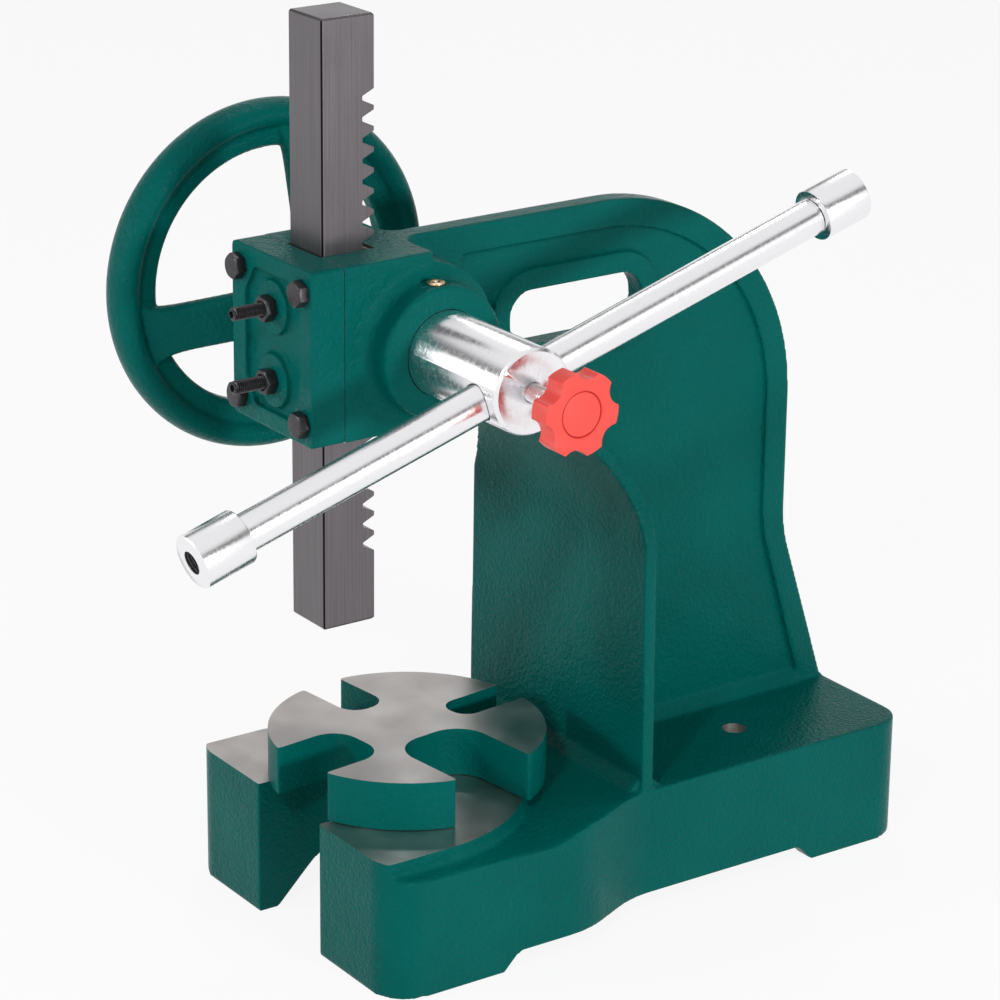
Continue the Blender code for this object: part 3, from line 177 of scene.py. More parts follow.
def slab(corners, axis, low, high):
    """A plate from an outline of (u, v) or (u, v, round) corners, its corners rounded, then extruded."""
    mesh = bmesh.new()
    verts = [mesh.verts.new(on_axis(axis, corner[0], corner[1], low)) for corner in corners]
    mesh.faces.new(verts)
    for vert, corner in zip(verts, corners):
        if len(corner) == 3 and corner[2]:
            ways = [(edge.other_vert(vert).co - vert.co) for edge in vert.link_edges]
            half = ways[0].angle(ways[1]) / 2
            sweep = pi - 2 * half
            segments = max(3, round(sweep * sqrt(corner[2] / 0.0001)))
            bmesh.ops.bevel(mesh, geom=[vert], offset=corner[2] / tan(half), segments=segments, profile=0.5,
                            affect="VERTICES", material=-1)
    raised = bmesh.ops.extrude_face_region(mesh, geom=mesh.faces[:])["geom"]
    rise = Vector(on_axis(axis, 0, 0, high - low))
    top = [item for item in raised if isinstance(item, bmesh.types.BMVert)]
    bmesh.ops.translate(mesh, vec=rise, verts=top)
    bmesh.ops.recalc_face_normals(mesh, faces=mesh.faces)
    return mesh


def turned(profile, axis, centre=(0, 0, 0), steps=96):
    """A solid spun about an axis from (along, radius) points. It is closed at radius 0, or as a ring."""
    mesh = bmesh.new()
    verts = [mesh.verts.new(on_axis(axis, radius, 0, along)) for along, radius in profile]
    edges = [mesh.edges.new(pair) for pair in zip(verts, verts[1:])]
    if profile[0][1] or profile[-1][1]:
        edges.append(mesh.edges.new((verts[-1], verts[0])))
    bmesh.ops.spin(mesh, geom=verts + edges, cent=(0, 0, 0), axis=on_axis(axis, 0, 0, 1), angle=2 * pi,
                   steps=steps, use_merge=True)
    bmesh.ops.remove_doubles(mesh, verts=mesh.verts, dist=0.000002)
    bmesh.ops.dissolve_degenerate(mesh, edges=mesh.edges, dist=0.000001)
    bmesh.ops.recalc_face_normals(mesh, faces=mesh.faces)
    bmesh.ops.translate(mesh, vec=Vector(centre), verts=mesh.verts)
    return mesh


def block(low_corner, high_corner, axis, low, high):
    """A square-cornered block between two (u, v) corners."""
    (u0, v0), (u1, v1) = low_corner, high_corner
    return slab([(u0, v0), (u1, v0), (u1, v1), (u0, v1)], axis, low, high)


def cylinder(low, high, radius, axis, centre=(0, 0, 0), steps=96):
    return turned([(low, 0), (low, radius), (high, radius), (high, 0)], axis, centre, steps)


def swept(rings):
    """A closed solid through rings of points, each bridged to the next."""
    mesh = bmesh.new()
    last = None
    for points in rings:
        ring = [mesh.verts.new(point) for point in points]
        loop = [mesh.edges.new((ring[i - 1], ring[i])) for i in range(len(ring))]
        if last:
            bmesh.ops.bridge_loops(mesh, edges=last + loop)
        last = loop
    bmesh.ops.holes_fill(mesh, edges=mesh.edges)
    bmesh.ops.recalc_face_normals(mesh, faces=mesh.faces)
    return mesh


def gather(whole, shells):
    """Adds closed shells to one bmesh as they are."""
    for shell in shells:
        data = bpy.data.meshes.new("shell")
        shell.to_mesh(data)
        shell.free()
        whole.from_mesh(data)
        bpy.data.meshes.remove(data)


def part(mesh, name, material=None):
    """A working object from one bmesh, or from a list of closed shells."""
    whole = bmesh.new()
    gather(whole, mesh if isinstance(mesh, list) else [mesh])
    data = bpy.data.meshes.new(name)
    whole.to_mesh(data)
    whole.free()
    if material:
        data.materials.append(material)
    made = bpy.data.objects.new(name, data)
    bpy.context.collection.objects.link(made)
    return made


def carve(body, tools, operation="DIFFERENCE"):
    """Exact Booleans of one body with several working objects."""
    for tool in tools:
        modifier = body.modifiers.new(tool.name, "BOOLEAN")
        modifier.object = tool
        modifier.operation = operation
        modifier.material_mode = "TRANSFER"


def settled(body, tools=(), shift=None):
    """The body with its modifiers applied, moved by shift. The tools are removed."""
    graph = bpy.context.evaluated_depsgraph_get()
    data = bpy.data.meshes.new_from_object(body.evaluated_get(graph), preserve_all_data_layers=False,
                                           depsgraph=graph)
    body.modifiers.clear()
    body.data = data
    for tool in tools:
        bpy.data.objects.remove(tool)
    if shift:
        data.transform(Matrix.Translation(shift))
    return body


def cast_skin(piece, grain, passes, share):
    """One enamelled skin over all shells, its edges softened as sand and filler leave them, then thinned."""
    skin = piece.modifiers.new("skin", "REMESH")
    skin.mode = "VOXEL"
    skin.voxel_size = grain
    soften = piece.modifiers.new("soften", "SMOOTH")
    soften.factor = 0.5
    soften.iterations = passes
    thin = piece.modifiers.new("thin", "DECIMATE")
    thin.ratio = share
    settled(piece)
    piece.data.materials.clear()
    piece.data.materials.append(green_enamel)


def smooth_shaded(piece, degrees=34):
    """Smooth shading that stays sharp at edges over the angle."""
    piece.data.shade_smooth()
    piece.data.set_sharp_from_angle(angle=radians(degrees))
    return piece


def mirrored(right_half):
    """A plan's outline from the corners of its +X half, listed front to back."""
    return right_half + [(-corner[0], *corner[1:]) for corner in reversed(right_half)]


def base_plan(inset):
    """The base's outline: wide prongs in front, a waist, and a narrower rear."""
    return mirrored([(0.082 - inset, base_front + inset, 0.017 - inset), (0.082 - inset, 0.079, 0.045),
                     (0.06715 - inset, 0.113, 0.045), (0.06715 - inset, base_back - inset, 0.016 - inset)])


def slot_plan(wall, front):
    """The open slot's outline, round at its inner end, grown by a wall."""
    half = 0.0246 + wall
    return [(half, front), (half, half, half * 0.999), (-half, half, half * 0.999), (-half, front)]


# Enamel over a sand casting: an orange peel of about 2 mm over the filler's 10 mm waves, which breaks up
# the shine, with a drift of tint over about 50 mm.
green_enamel, enamel_shader = new_material("green_enamel", Roughness=0.2, IOR=1.5, Specular_IOR_Level=0.04)
spot = add_node(green_enamel, "ShaderNodeTexCoord").outputs["Object"]
peel = add_node(green_enamel, "ShaderNodeTexNoise", {"Vector": spot, "Scale": 520, "Detail": 3,
                                                     "Roughness": 0.6})
waves = add_node(green_enamel, "ShaderNodeTexNoise", {"Vector": spot, "Scale": 95, "Detail": 2})
clouds = add_node(green_enamel, "ShaderNodeTexNoise", {"Vector": spot, "Scale": 22, "Detail": 4})
tint = add_node(green_enamel, "ShaderNodeMix", {"Factor": clouds.outputs["Fac"], "A": colour("005550"),
                                                "B": colour("006761")}, data_type="RGBA")
feed(enamel_shader, "Base Color", tint.outputs["Result"])
gloss = add_node(green_enamel, "ShaderNodeMapRange", {"Value": peel.outputs["Fac"], "From Min": 0.3,
                                                      "From Max": 0.7, "To Min": 0.12, "To Max": 0.26})
feed(enamel_shader, "Roughness", gloss.outputs["Result"])
wave_bump = add_node(green_enamel, "ShaderNodeBump", {"Height": waves.outputs["Fac"], "Strength": 0.35,
                                                      "Distance": 0.0012})
peel_bump = add_node(green_enamel, "ShaderNodeBump", {"Height": peel.outputs["Fac"], "Strength": 0.8,
                                                      "Distance": 0.0010,
                                                      "Normal": wave_bump.outputs["Normal"]})
feed(enamel_shader, "Normal", peel_bump.outputs["Normal"])

# Milled and ground iron: cutter lines about 0.4 mm apart, slightly uneven, warm grey.
machined_iron, iron_shader = new_material("machined_iron", Metallic=1.0, Roughness=0.34)
spot = add_node(machined_iron, "ShaderNodeTexCoord").outputs["Object"]
drawn = add_node(machined_iron, "ShaderNodeMapping", {"Vector": spot, "Scale": (60, 2200, 60)})
lines = add_node(machined_iron, "ShaderNodeTexNoise", {"Vector": drawn.outputs["Vector"], "Scale": 1,
                                                       "Detail": 3})
stains = add_node(machined_iron, "ShaderNodeTexNoise", {"Vector": spot, "Scale": 45, "Detail": 5})
iron_tint = add_node(machined_iron, "ShaderNodeMix", {"Factor": stains.outputs["Fac"], "A": colour("A8A3A1"),
                                                      "B": colour("D9D5D3")}, data_type="RGBA")
feed(iron_shader, "Base Color", iron_tint.outputs["Result"])
iron_gloss = add_node(machined_iron, "ShaderNodeMapRange", {"Value": stains.outputs["Fac"], "From Min": 0.3,
                                                            "From Max": 0.7, "To Min": 0.3, "To Max": 0.42})
feed(iron_shader, "Roughness", iron_gloss.outputs["Result"])
iron_bump = add_node(machined_iron, "ShaderNodeBump", {"Height": lines.outputs["Fac"], "Strength": 0.25,
                                                       "Distance": 0.0002})
feed(iron_shader, "Normal", iron_bump.outputs["Normal"])

# Base, hollow under its roof, with walls round the slot and a low arch between the feet.
roof = 0.0465
base = part(slab(base_plan(0), "Z", 0, pad_top + milling_stock), "base")
pad_kept = part([slab([(0.0752, -0.1), (0.0752, 0.010), (0.0745, 0.010), (0.0745, 0.0845, 0.0744),
                       (-0.0745, 0.0845, 0.0744), (-0.0745, 0.010), (-0.0752, 0.010), (-0.0752, -0.1)],
                      "Z", base_top - 0.01, 0.1)], "pad_kept")
lowered = part(block((-0.1, -0.1), (0.1, 0.3), "Z", base_top, 0.08), "lowered")
carve(lowered, [pad_kept])
settled(lowered, [pad_kept])
shoulders = []
for side in (1, -1):
    rings = []
    for step in range(31):
        y = -0.03 if step == 0 else 0.010 + 0.074 * (step - 1) / 29
        ramp = max(0.0, (y - 0.060) / 0.024)
        inner_z = 0.0553 + 0.0032 * ramp
        outer_z = 0.0512 + 0.0073 * ramp
        inner = 0.0745 * sqrt(max(0.01, 1 - (max(0.0, y - 0.010) / 0.0745) ** 2)) + 0.0004
        rings.append([(side * x, y, z) for x, z in ((inner, 0.08), (inner, inner_z), (0.09, outer_z),
                                                    (0.09, 0.08))])
    shoulders.append(part(swept(rings), "shoulder"))
hollow = part(slab(base_plan(0.0095), "Z", -0.01, roof), "hollow")
boss_kept = part(cylinder(0.026, 0.06, 0.015, "Z", (0, table_y, 0), 48), "boss_kept")
slot_kept = part(slab(slot_plan(0.008, -0.1), "Z", -0.02, 0.06), "slot_kept")
carve(hollow, [boss_kept, slot_kept])
settled(hollow, [boss_kept, slot_kept])
wall_under = part(slab([(-0.0135, -0.01), (-0.0135, 0), (0.0130, 0.026, 0.004), (0.0346, 0.026),
                        (0.0346, -0.01)], "X", -0.0346, 0.0346), "wall_under")
slot = part(slab(slot_plan(0, -0.1), "Z", -0.02, 0.1), "slot")
arch = part(slab([(0.0275, -0.0074), (0.0345, 0), (0.0415, 0.0074, 0.006), (0.2085, 0.0074, 0.006),
                  (0.2155, 0), (0.2225, -0.0074)], "X", -0.1, 0.1), "arch")
cutters = [lowered, *shoulders, hollow, wall_under, slot, arch]
carve(base, cutters)
settled(base, cutters)

# Web: an arm with a rounded back, thinner inside a raised rim, and a window with a raised lip.
web_half = 0.0028
rim_half = 0.0056


def web_side(inset, front):
    low_back = 0.2694 - inset * 1.057
    return [(front, arm_top - inset, 0.004 if inset else 0),
            (0.2432 - inset, arm_top - inset, 0.1065 - inset),
            (0.2432 - inset, 0.1374 + inset * 0.17, 0.060), (low_back, base_top), (low_back, 0.052),
            (0.1207, 0.052), (0.1207, 0.2366, 0.0651), (front, 0.2366)]


def window_side(grow):
    corner = 0.0115 + grow
    return [(0.0874 - grow, 0.2500 - grow, corner), (0.1580 + grow, 0.2500 - grow, corner),
            (0.1580 + grow, 0.2748 + grow, corner), (0.0874 - grow, 0.2748 + grow, corner)]


web = part(slab(web_side(0, 0.0310), "X", -rim_half, rim_half), "web")
recesses = []
for side in (1, -1):
    low, high = sorted((side * web_half, side * 0.02))
    recess = part(slab(web_side(0.0124, 0.0570), "X", low, high), "recess")
    lip = part(slab(window_side(0.0095), "X", -0.03, 0.03), "lip")
    carve(recess, [lip])
    recesses.append(settled(recess, [lip]))
window = part(slab(window_side(0), "X", -0.02, 0.02), "window")
carve(web, recesses + [window])
settled(web, recesses + [window])

# Flange: rises from the base, narrows, and arcs forward under the head.
arc_y = flange_front - throat_round
arc_z = head_bottom - throat_round
stations = [(flange_front, 0.052, flange_front + flange_thickness, 0.052, 0.0668)]
for step in range(33):
    turn = pi / 2 * step / 32
    share = (cos(turn) ** 2 + 1 - sin(turn)) / 2
    outer = throat_round + flange_thickness
    stations.append((arc_y + throat_round * cos(turn), arc_z + throat_round * sin(turn),
                     arc_y + outer * cos(turn), arc_z + outer * sin(turn), 0.0312 + 0.034 * share))
stations.append((0.015, head_bottom, 0.015, head_bottom + flange_thickness, 0.0312))
flange = swept([((half, front_y, front_z), (half, back_y, back_z), (-half, back_y, back_z),
                 (-half, front_y, front_z)) for front_y, front_z, back_y, back_z, half in stations])

# Head block with its neck, and the bearing barrel with a collar on each side.
head = slab(mirrored([(head_half, head_front - milling_stock), (head_half, 0.0310, 0.003),
                      (rim_half, 0.0310, 0.008), (rim_half, 0.062)]), "Z", head_bottom, arm_top)
collar = [(0.0465, 0), (0.0465, 0.0274), (0.0453, 0.0286)]
for step in range(9):
    turn = pi / 2 * step / 8
    collar.append((0.0312 + 0.0062 * (1 - sin(turn)), 0.0286 + 0.0062 * (1 - cos(turn))))
collar.append((0.025, 0.0355))
barrel = turned(collar + [(-along, radius) for along, radius in reversed(collar)], "X", shaft_centre)

# Fillets where the web and the flange stand on the base and on each other, as strips to be smoothed.
strips = []
fillet = 0.0055
for side in (1, -1):
    foot = side * web_half
    out = side * (web_half + fillet)
    strips.append(slab([(0, base_top - 0.002), (out, base_top - 0.002), (out, base_top),
                        (foot, base_top + fillet), (0, base_top + fillet)], "Y", 0.120, 0.255))
    upright = [(0, 0.120), (0, flange_back + fillet), (foot, flange_back + fillet), (out, flange_back),
               (out, 0.120)]
    strips.append(slab(upright, "Z", 0.056, 0.1500))
    run_out = slab(upright, "Z", 0.1500, 0.1950)
    for vert in run_out.verts:
        if vert.co.z > 0.19:
            vert.co = (min(abs(vert.co.x), web_half) * side, min(vert.co.y, 0.1210), vert.co.z)
    strips.append(run_out)
for way, face in ((-1, flange_front), (1, flange_back)):
    strips.append(slab([(face - way * 0.002, base_top - 0.002), (face + way * fillet, base_top - 0.002),
                        (face + way * fillet, base_top), (face, base_top + fillet),
                        (face - way * 0.002, base_top + fillet)], "X", -0.064, 0.064))

casting = part([flange, head, barrel, *strips], "casting")
for other in (base, web):
    loose = bmesh.new()
    loose.from_mesh(casting.data)
    loose.from_mesh(other.data)
    loose.to_mesh(casting.data)
    loose.free()
    bpy.data.objects.remove(other)
cast_skin(casting, 0.0010, 2, 0.3)

milled = part(block((-0.1, -0.1), (0.1, 0.1), "Z", pad_top, pad_top + 0.02), "milled", machined_iron)
faced = part(block((-0.04, 0.225), (0.04, 0.32), "Y", head_front - 0.02, head_front), "faced", machined_iron)
channel = part(block((-channel_half, -0.03), (channel_half, channel_half), "Z", 0.22, 0.32), "channel",
               machined_iron)
bore = part(turned([(-0.06, 0), (-0.06, 0.01275), (-0.0141, 0.01275), (-0.0141, 0.01865), (0.06, 0.01865),
                    (0.06, 0)], "X", shaft_centre), "bore", machined_iron)
oiler_x = 0.0390
oiler_seat = shaft_centre.z + 0.0286 - 0.0008
oiler_place = (oiler_x, shaft_centre.y, 0)
drilled = [part(cylinder(oiler_seat, 0.31, 0.0062, "Z", oiler_place, 48), "spot_face", green_enamel),
           part(cylinder(0.28, 0.31, 0.0029, "Z", oiler_place, 32), "oil_hole", machined_iron),
           part(cylinder(0.02, 0.07, 0.00625, "Z", (0, table_y, 0), 48), "pin_hole", machined_iron)]
for side in (1, -1):
    drilled.append(part(cylinder(0.04, 0.07, 0.0055, "Z", (side * 0.0335, 0.1952, 0), 48), "bench_hole",
                        machined_iron))
bolt_places = [(side * 0.0244, 0.27115 + end * 0.0280) for side in (-1, 1) for end in (1, -1)]
for x, z in bolt_places:
    drilled.append(part(cylinder(-0.03, 0.0014, 0.00315, "Y", (x, 0, z), 24), "bolt_hole", machined_iron))
cutters = [milled, faced, channel, bore, *drilled]
carve(casting, cutters)
settled(casting, cutters, datum)
smooth_shaded(casting)
casting.name = "cast_frame"
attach(casting, "frame")
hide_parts("frame_casting")


# Cover plate. The head's front half, cast in the same iron and enamelled, with a stepped recess and two pads.
# It is milled on its back and bolted on, so that the ram's channel can be adjusted.

cover_front = -0.0296
cover_back = -0.0138
head_mid = (head_bottom + arm_top) / 2
pad_places = (head_mid + 0.0158, head_mid - 0.0158)
cover_round = 0.0020
cover_side = [(-head_half, head_bottom, cover_round), (head_half, head_bottom, cover_round),
              (head_half, arm_top, cover_round), (-head_half, arm_top, cover_round)]
blank = part(slab(cover_side, "Y", cover_front, cover_back + milling_stock), "cover_casting")
panel_x, panel_z = 0.0208, 0.02985
step_x, step_z = 0.0070, 0.0115
panel = []
for sx, sz in ((1, -1), (1, 1), (-1, 1), (-1, -1)):
    on_side = (sx * panel_x, head_mid + sz * (panel_z - step_z), 0.0028)
    on_end = (sx * (panel_x - step_x), head_mid + sz * panel_z, 0.0028)
    panel += [on_side, on_end] if sx == sz else [on_end, on_side]
sunk = part(slab(panel, "Y", cover_front - 0.01, cover_front + 0.0028), "sunk")
pads = [part(cylinder(-0.05, 0, 0.0116, "Y", (0, 0, z), 64), "pad") for z in pad_places]
carve(sunk, pads)
settled(sunk, pads)
carve(blank, [sunk])
settled(blank, [sunk])
cast_skin(blank, 0.0006, 9, 0.5)
cutters = [part(block((-0.05, 0.2), (0.05, 0.35), "Y", cover_back, 0.01), "cover_back", machined_iron),
           part(block((-0.0123, 0.2365), (0.0123, 0.3055), "Y", -0.01845, 0.01), "gib_groove", machined_iron)]
for x, z in bolt_places + [(0, z) for z in pad_places]:
    cutters.append(part(cylinder(-0.05, 0.01, 0.00315, "Y", (x, 0, z), 40), "screw_hole", machined_iron))
carve(blank, cutters)
settled(blank, cutters, datum)
smooth_shaded(blank)
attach(blank, "frame")
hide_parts("cover_plate")


# Cover bolts, gib screws and jam nuts. Rolled and cold-headed steel, blackened in hot oxide salts.
# Four hexagon bolts hold the cover. Two set screws bear on the gib, each locked by a nut.

# Black oxide over steel: deep neutral grey, a soft sheen where handling has polished it.
black_oxide, oxide_shader = new_material("black_oxide", Metallic=0.75, Roughness=0.36)
spot = add_node(black_oxide, "ShaderNodeTexCoord").outputs["Object"]
salts = add_node(black_oxide, "ShaderNodeTexNoise", {"Vector": spot, "Scale": 700, "Detail": 3})
oxide_tint = add_node(black_oxide, "ShaderNodeMix", {"Factor": salts.outputs["Fac"], "A": colour("1E1C1E"),
                                                     "B": colour("565356")}, data_type="RGBA")
feed(oxide_shader, "Base Color", oxide_tint.outputs["Result"])
oxide_gloss = add_node(black_oxide, "ShaderNodeMapRange", {"Value": salts.outputs["Fac"], "To Min": 0.26,
                                                           "To Max": 0.5})
feed(oxide_shader, "Roughness", oxide_gloss.outputs["Result"])
oxide_bump = add_node(black_oxide, "ShaderNodeBump", {"Height": salts.outputs["Fac"], "Strength": 0.2,
                                                      "Distance": 0.0001})
feed(oxide_shader, "Normal", oxide_bump.outputs["Normal"])


def threaded(radius, pitch, start, length, axis, centre):
    """A cut thread: a ridge's outline spun along a helix into one closed shell, on a plain core."""
    steps_a_turn = 24
    ridge = bmesh.new()
    root = radius - pitch * 0.61
    outline = [(0, root - 0.0003), (0, root), (pitch * 0.42, radius), (pitch * 0.56, radius),
               (pitch * 0.98, root), (pitch * 0.98, root - 0.0003)]
    verts = [ridge.verts.new(on_axis(axis, r, 0, start + along)) for along, r in outline]
    edges = [ridge.edges.new(pair) for pair in zip(verts, verts[1:] + verts[:1])]
    turns = (length - pitch) / pitch
    bmesh.ops.spin(ridge, geom=verts + edges, cent=(0, 0, 0), axis=on_axis(axis, 0, 0, 1),
                   dvec=Vector(on_axis(axis, 0, 0, pitch / steps_a_turn)), angle=2 * pi * turns,
                   steps=round(steps_a_turn * turns), use_merge=False)
    bmesh.ops.holes_fill(ridge, edges=ridge.edges)
    bmesh.ops.recalc_face_normals(ridge, faces=ridge.faces)
    bmesh.ops.translate(ridge, vec=Vector(centre), verts=ridge.verts)
    edge = pitch * 0.5
    core = turned([(start, 0), (start, root - edge), (start + edge, root), (start + length - edge, root),
                   (start + length, root - edge), (start + length, 0)], axis, centre, 48)
    return [core, ridge]


def hexagon_plan(corner, u=0, v=0):
    """A hexagon's corners about a (u, v) point."""
    return [(u + corner * cos(pi / 3 * step), v + corner * sin(pi / 3 * step)) for step in range(6)]


def hexagon_head(height, seat, degrees, place):
    """A 10 mm hexagon standing forward on its seat, its corners turned off by the crown, turned in place."""
    flats = 0.0100
    corner = flats / sqrt(3)
    crown_top = seat - height
    head_mesh = part(slab(hexagon_plan(corner), "Y", crown_top, seat), "hexagon")
    face = flats / 2 * 0.94
    drop = (corner - face) * tan(radians(30))
    crown = part(turned([(seat, 0), (seat, corner + 0.0005), (crown_top + drop + 0.0003, corner + 0.0005),
                         (crown_top, face), (crown_top, 0)], "Y"), "crown")
    carve(head_mesh, [crown], "INTERSECT")
    settled(head_mesh, [crown])
    mesh = bmesh.new()
    mesh.from_mesh(head_mesh.data)
    bpy.data.objects.remove(head_mesh)
    bmesh.ops.remove_doubles(mesh, verts=mesh.verts, dist=0.00001)
    bmesh.ops.dissolve_limit(mesh, angle_limit=radians(1), verts=mesh.verts, edges=mesh.edges)
    bmesh.ops.rotate(mesh, cent=(0, 0, 0), matrix=Matrix.Rotation(radians(degrees), 3, "Y"), verts=mesh.verts)
    bmesh.ops.translate(mesh, vec=place, verts=mesh.verts)
    return mesh


def joined(piece, shells):
    """Adds closed shells to a piece."""
    whole = bmesh.new()
    whole.from_mesh(piece.data)
    gather(whole, shells)
    whole.to_mesh(piece.data)
    whole.free()


def finished(piece, body, node, degrees=34):
    """Moves a piece into the frame's place and hands it over."""
    piece.data.transform(Matrix.Translation(datum))
    smooth_shaded(piece, degrees)
    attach(piece, body)
    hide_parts(node)


def break_edges(piece, width):
    """Broken edges, as tumbling or a file leaves them."""
    bevel = piece.modifiers.new("broken_edges", "BEVEL")
    bevel.width = width
    bevel.segments = 2
    bevel.limit_method = "ANGLE"
    bevel.angle_limit = radians(30)


for number, (x, z) in enumerate(bolt_places):
    head_turn = (14, -8, 22, 5)[number]
    bolt = part(hexagon_head(0.0046, cover_front, head_turn, (x, 0, z)), f"cap_screw_{number + 1}",
                black_oxide)
    break_edges(bolt, 0.00025)
    settled(bolt)
    shank = part(turned([(cover_front - 0.001, 0), (cover_front - 0.001, 0.0029), (-0.0012, 0.0029),
                         (-0.0006, 0.0023), (-0.0006, 0)], "Y", (x, 0, z), 32), "shank", black_oxide)
    carve(bolt, [shank], "UNION")
    settled(bolt, [shank])
    finished(bolt, "frame", f"cover_bolt_{number + 1}")

for label, z, nut_turn in (("upper", pad_places[0], 11), ("lower", pad_places[1], -6)):
    core, ridge = threaded(0.0029, 0.0010, -0.0487, 0.0300, "Y", (0, 0, z))
    screw = part(core, f"set_screw_{label}", black_oxide)
    key_socket = part(slab(hexagon_plan(0.0015 / cos(pi / 6), 0, z), "Y", -0.06, -0.0457), "key_socket",
                      black_oxide)
    carve(screw, [key_socket])
    settled(screw, [key_socket])
    joined(screw, [ridge])
    finished(screw, "frame", f"gib_screw_{label}", 40)

    nut = part(hexagon_head(0.0048, cover_front - 0.0003, nut_turn, (0, 0, z)), f"lock_nut_{label}",
               black_oxide)
    thread = part(turned([(-0.05, 0), (-0.05, 0.0036), (-0.0341, 0.0036), (-0.0335, 0.00305),
                          (-0.02, 0.00305), (-0.02, 0)], "Y", (0, 0, z), 48), "nut_thread", black_oxide)
    carve(nut, [thread])
    settled(nut, [thread])
    break_edges(nut, 0.0002)
    settled(nut)
    finished(nut, "frame", f"jam_nut_{label}")


# Ram and gib. The ram is a square bar of carbon steel, hobbed with a rack on its back and surface ground.
# The gib is a brass strip that the screws press against the ram's front.

# Ground carbon steel, left bare and oiled: dull dark grey with grinding lines along the bar, 0.3 mm apart.
# The front corners' chamfers keep the bar's black mill scale.
ground_steel, ground_shader = new_material("ground_steel", Metallic=1.0, Roughness=0.36)
spot = add_node(ground_steel, "ShaderNodeTexCoord").outputs["Object"]
along_bar = add_node(ground_steel, "ShaderNodeMapping", {"Vector": spot, "Scale": (1500, 1500, 12)})
grind = add_node(ground_steel, "ShaderNodeTexNoise", {"Vector": along_bar.outputs["Vector"], "Scale": 1,
                                                      "Detail": 3})
handling = add_node(ground_steel, "ShaderNodeTexNoise", {"Vector": spot, "Scale": 28, "Detail": 4})
ground_tint = add_node(ground_steel, "ShaderNodeMix", {"Factor": grind.outputs["Fac"], "A": colour("585457"),
                                                       "B": colour("7D797C")}, data_type="RGBA")
bar_place = add_node(ground_steel, "ShaderNodeSeparateXYZ", {"Vector": spot})
to_side = add_node(ground_steel, "ShaderNodeMath", {0: bar_place.outputs["X"]}, operation="ABSOLUTE")
chamfer_start = 0.01195
at_side = add_node(ground_steel, "ShaderNodeMath", {0: to_side.outputs[0], 1: chamfer_start},
                   operation="GREATER_THAN")
at_front = add_node(ground_steel, "ShaderNodeMath", {0: bar_place.outputs["Y"], 1: datum.y - chamfer_start},
                    operation="LESS_THAN")
at_corner = add_node(ground_steel, "ShaderNodeMath", {0: at_side.outputs[0], 1: at_front.outputs[0]},
                     operation="MULTIPLY")
scale_left = add_node(ground_steel, "ShaderNodeMix", {"Factor": at_corner.outputs[0],
                                                      "A": ground_tint.outputs["Result"],
                                                      "B": colour("1B191B")}, data_type="RGBA")
feed(ground_shader, "Base Color", scale_left.outputs["Result"])
ground_gloss = add_node(ground_steel, "ShaderNodeMapRange", {"Value": handling.outputs["Fac"],
                                                             "From Min": 0.3, "From Max": 0.7,
                                                             "To Min": 0.3, "To Max": 0.44})
feed(ground_shader, "Roughness", ground_gloss.outputs["Result"])
ground_bump = add_node(ground_steel, "ShaderNodeBump", {"Height": grind.outputs["Fac"], "Strength": 0.3,
                                                        "Distance": 0.0001})
feed(ground_shader, "Normal", ground_bump.outputs["Normal"])

# Brass strip and oiler cup: warm yellow, turned or drawn, lightly tarnished.
turned_brass, brass_shader = new_material("turned_brass", Metallic=1.0, Roughness=0.28)
spot = add_node(turned_brass, "ShaderNodeTexCoord").outputs["Object"]
tarnish = add_node(turned_brass, "ShaderNodeTexNoise", {"Vector": spot, "Scale": 400, "Detail": 4})
brass_tint = add_node(turned_brass, "ShaderNodeMix", {"Factor": tarnish.outputs["Fac"], "A": colour("C49A6C"),
                                                      "B": colour("EBD0AE")}, data_type="RGBA")
feed(brass_shader, "Base Color", brass_tint.outputs["Result"])


def carry(name, material, width):
    """A CAD node kept as it is, given its finish and lightly broken edges."""
    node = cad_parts[name]
    node.data.materials.clear()
    node.data.materials.append(material)
    weld = node.modifiers.new("weld", "WELD")
    weld.merge_threshold = 0.000002
    break_edges(node, width)


carry("ram", ground_steel, 0.00022)
carry("gib", turned_brass, 0.0003)


# Pinion shaft. One bar of steel turned to 37 mm at the handle end, with eleven teeth hobbed in its middle.
# It is cross-drilled for the lever, tapped in the end for the clamp screw, and bright nickel plated.

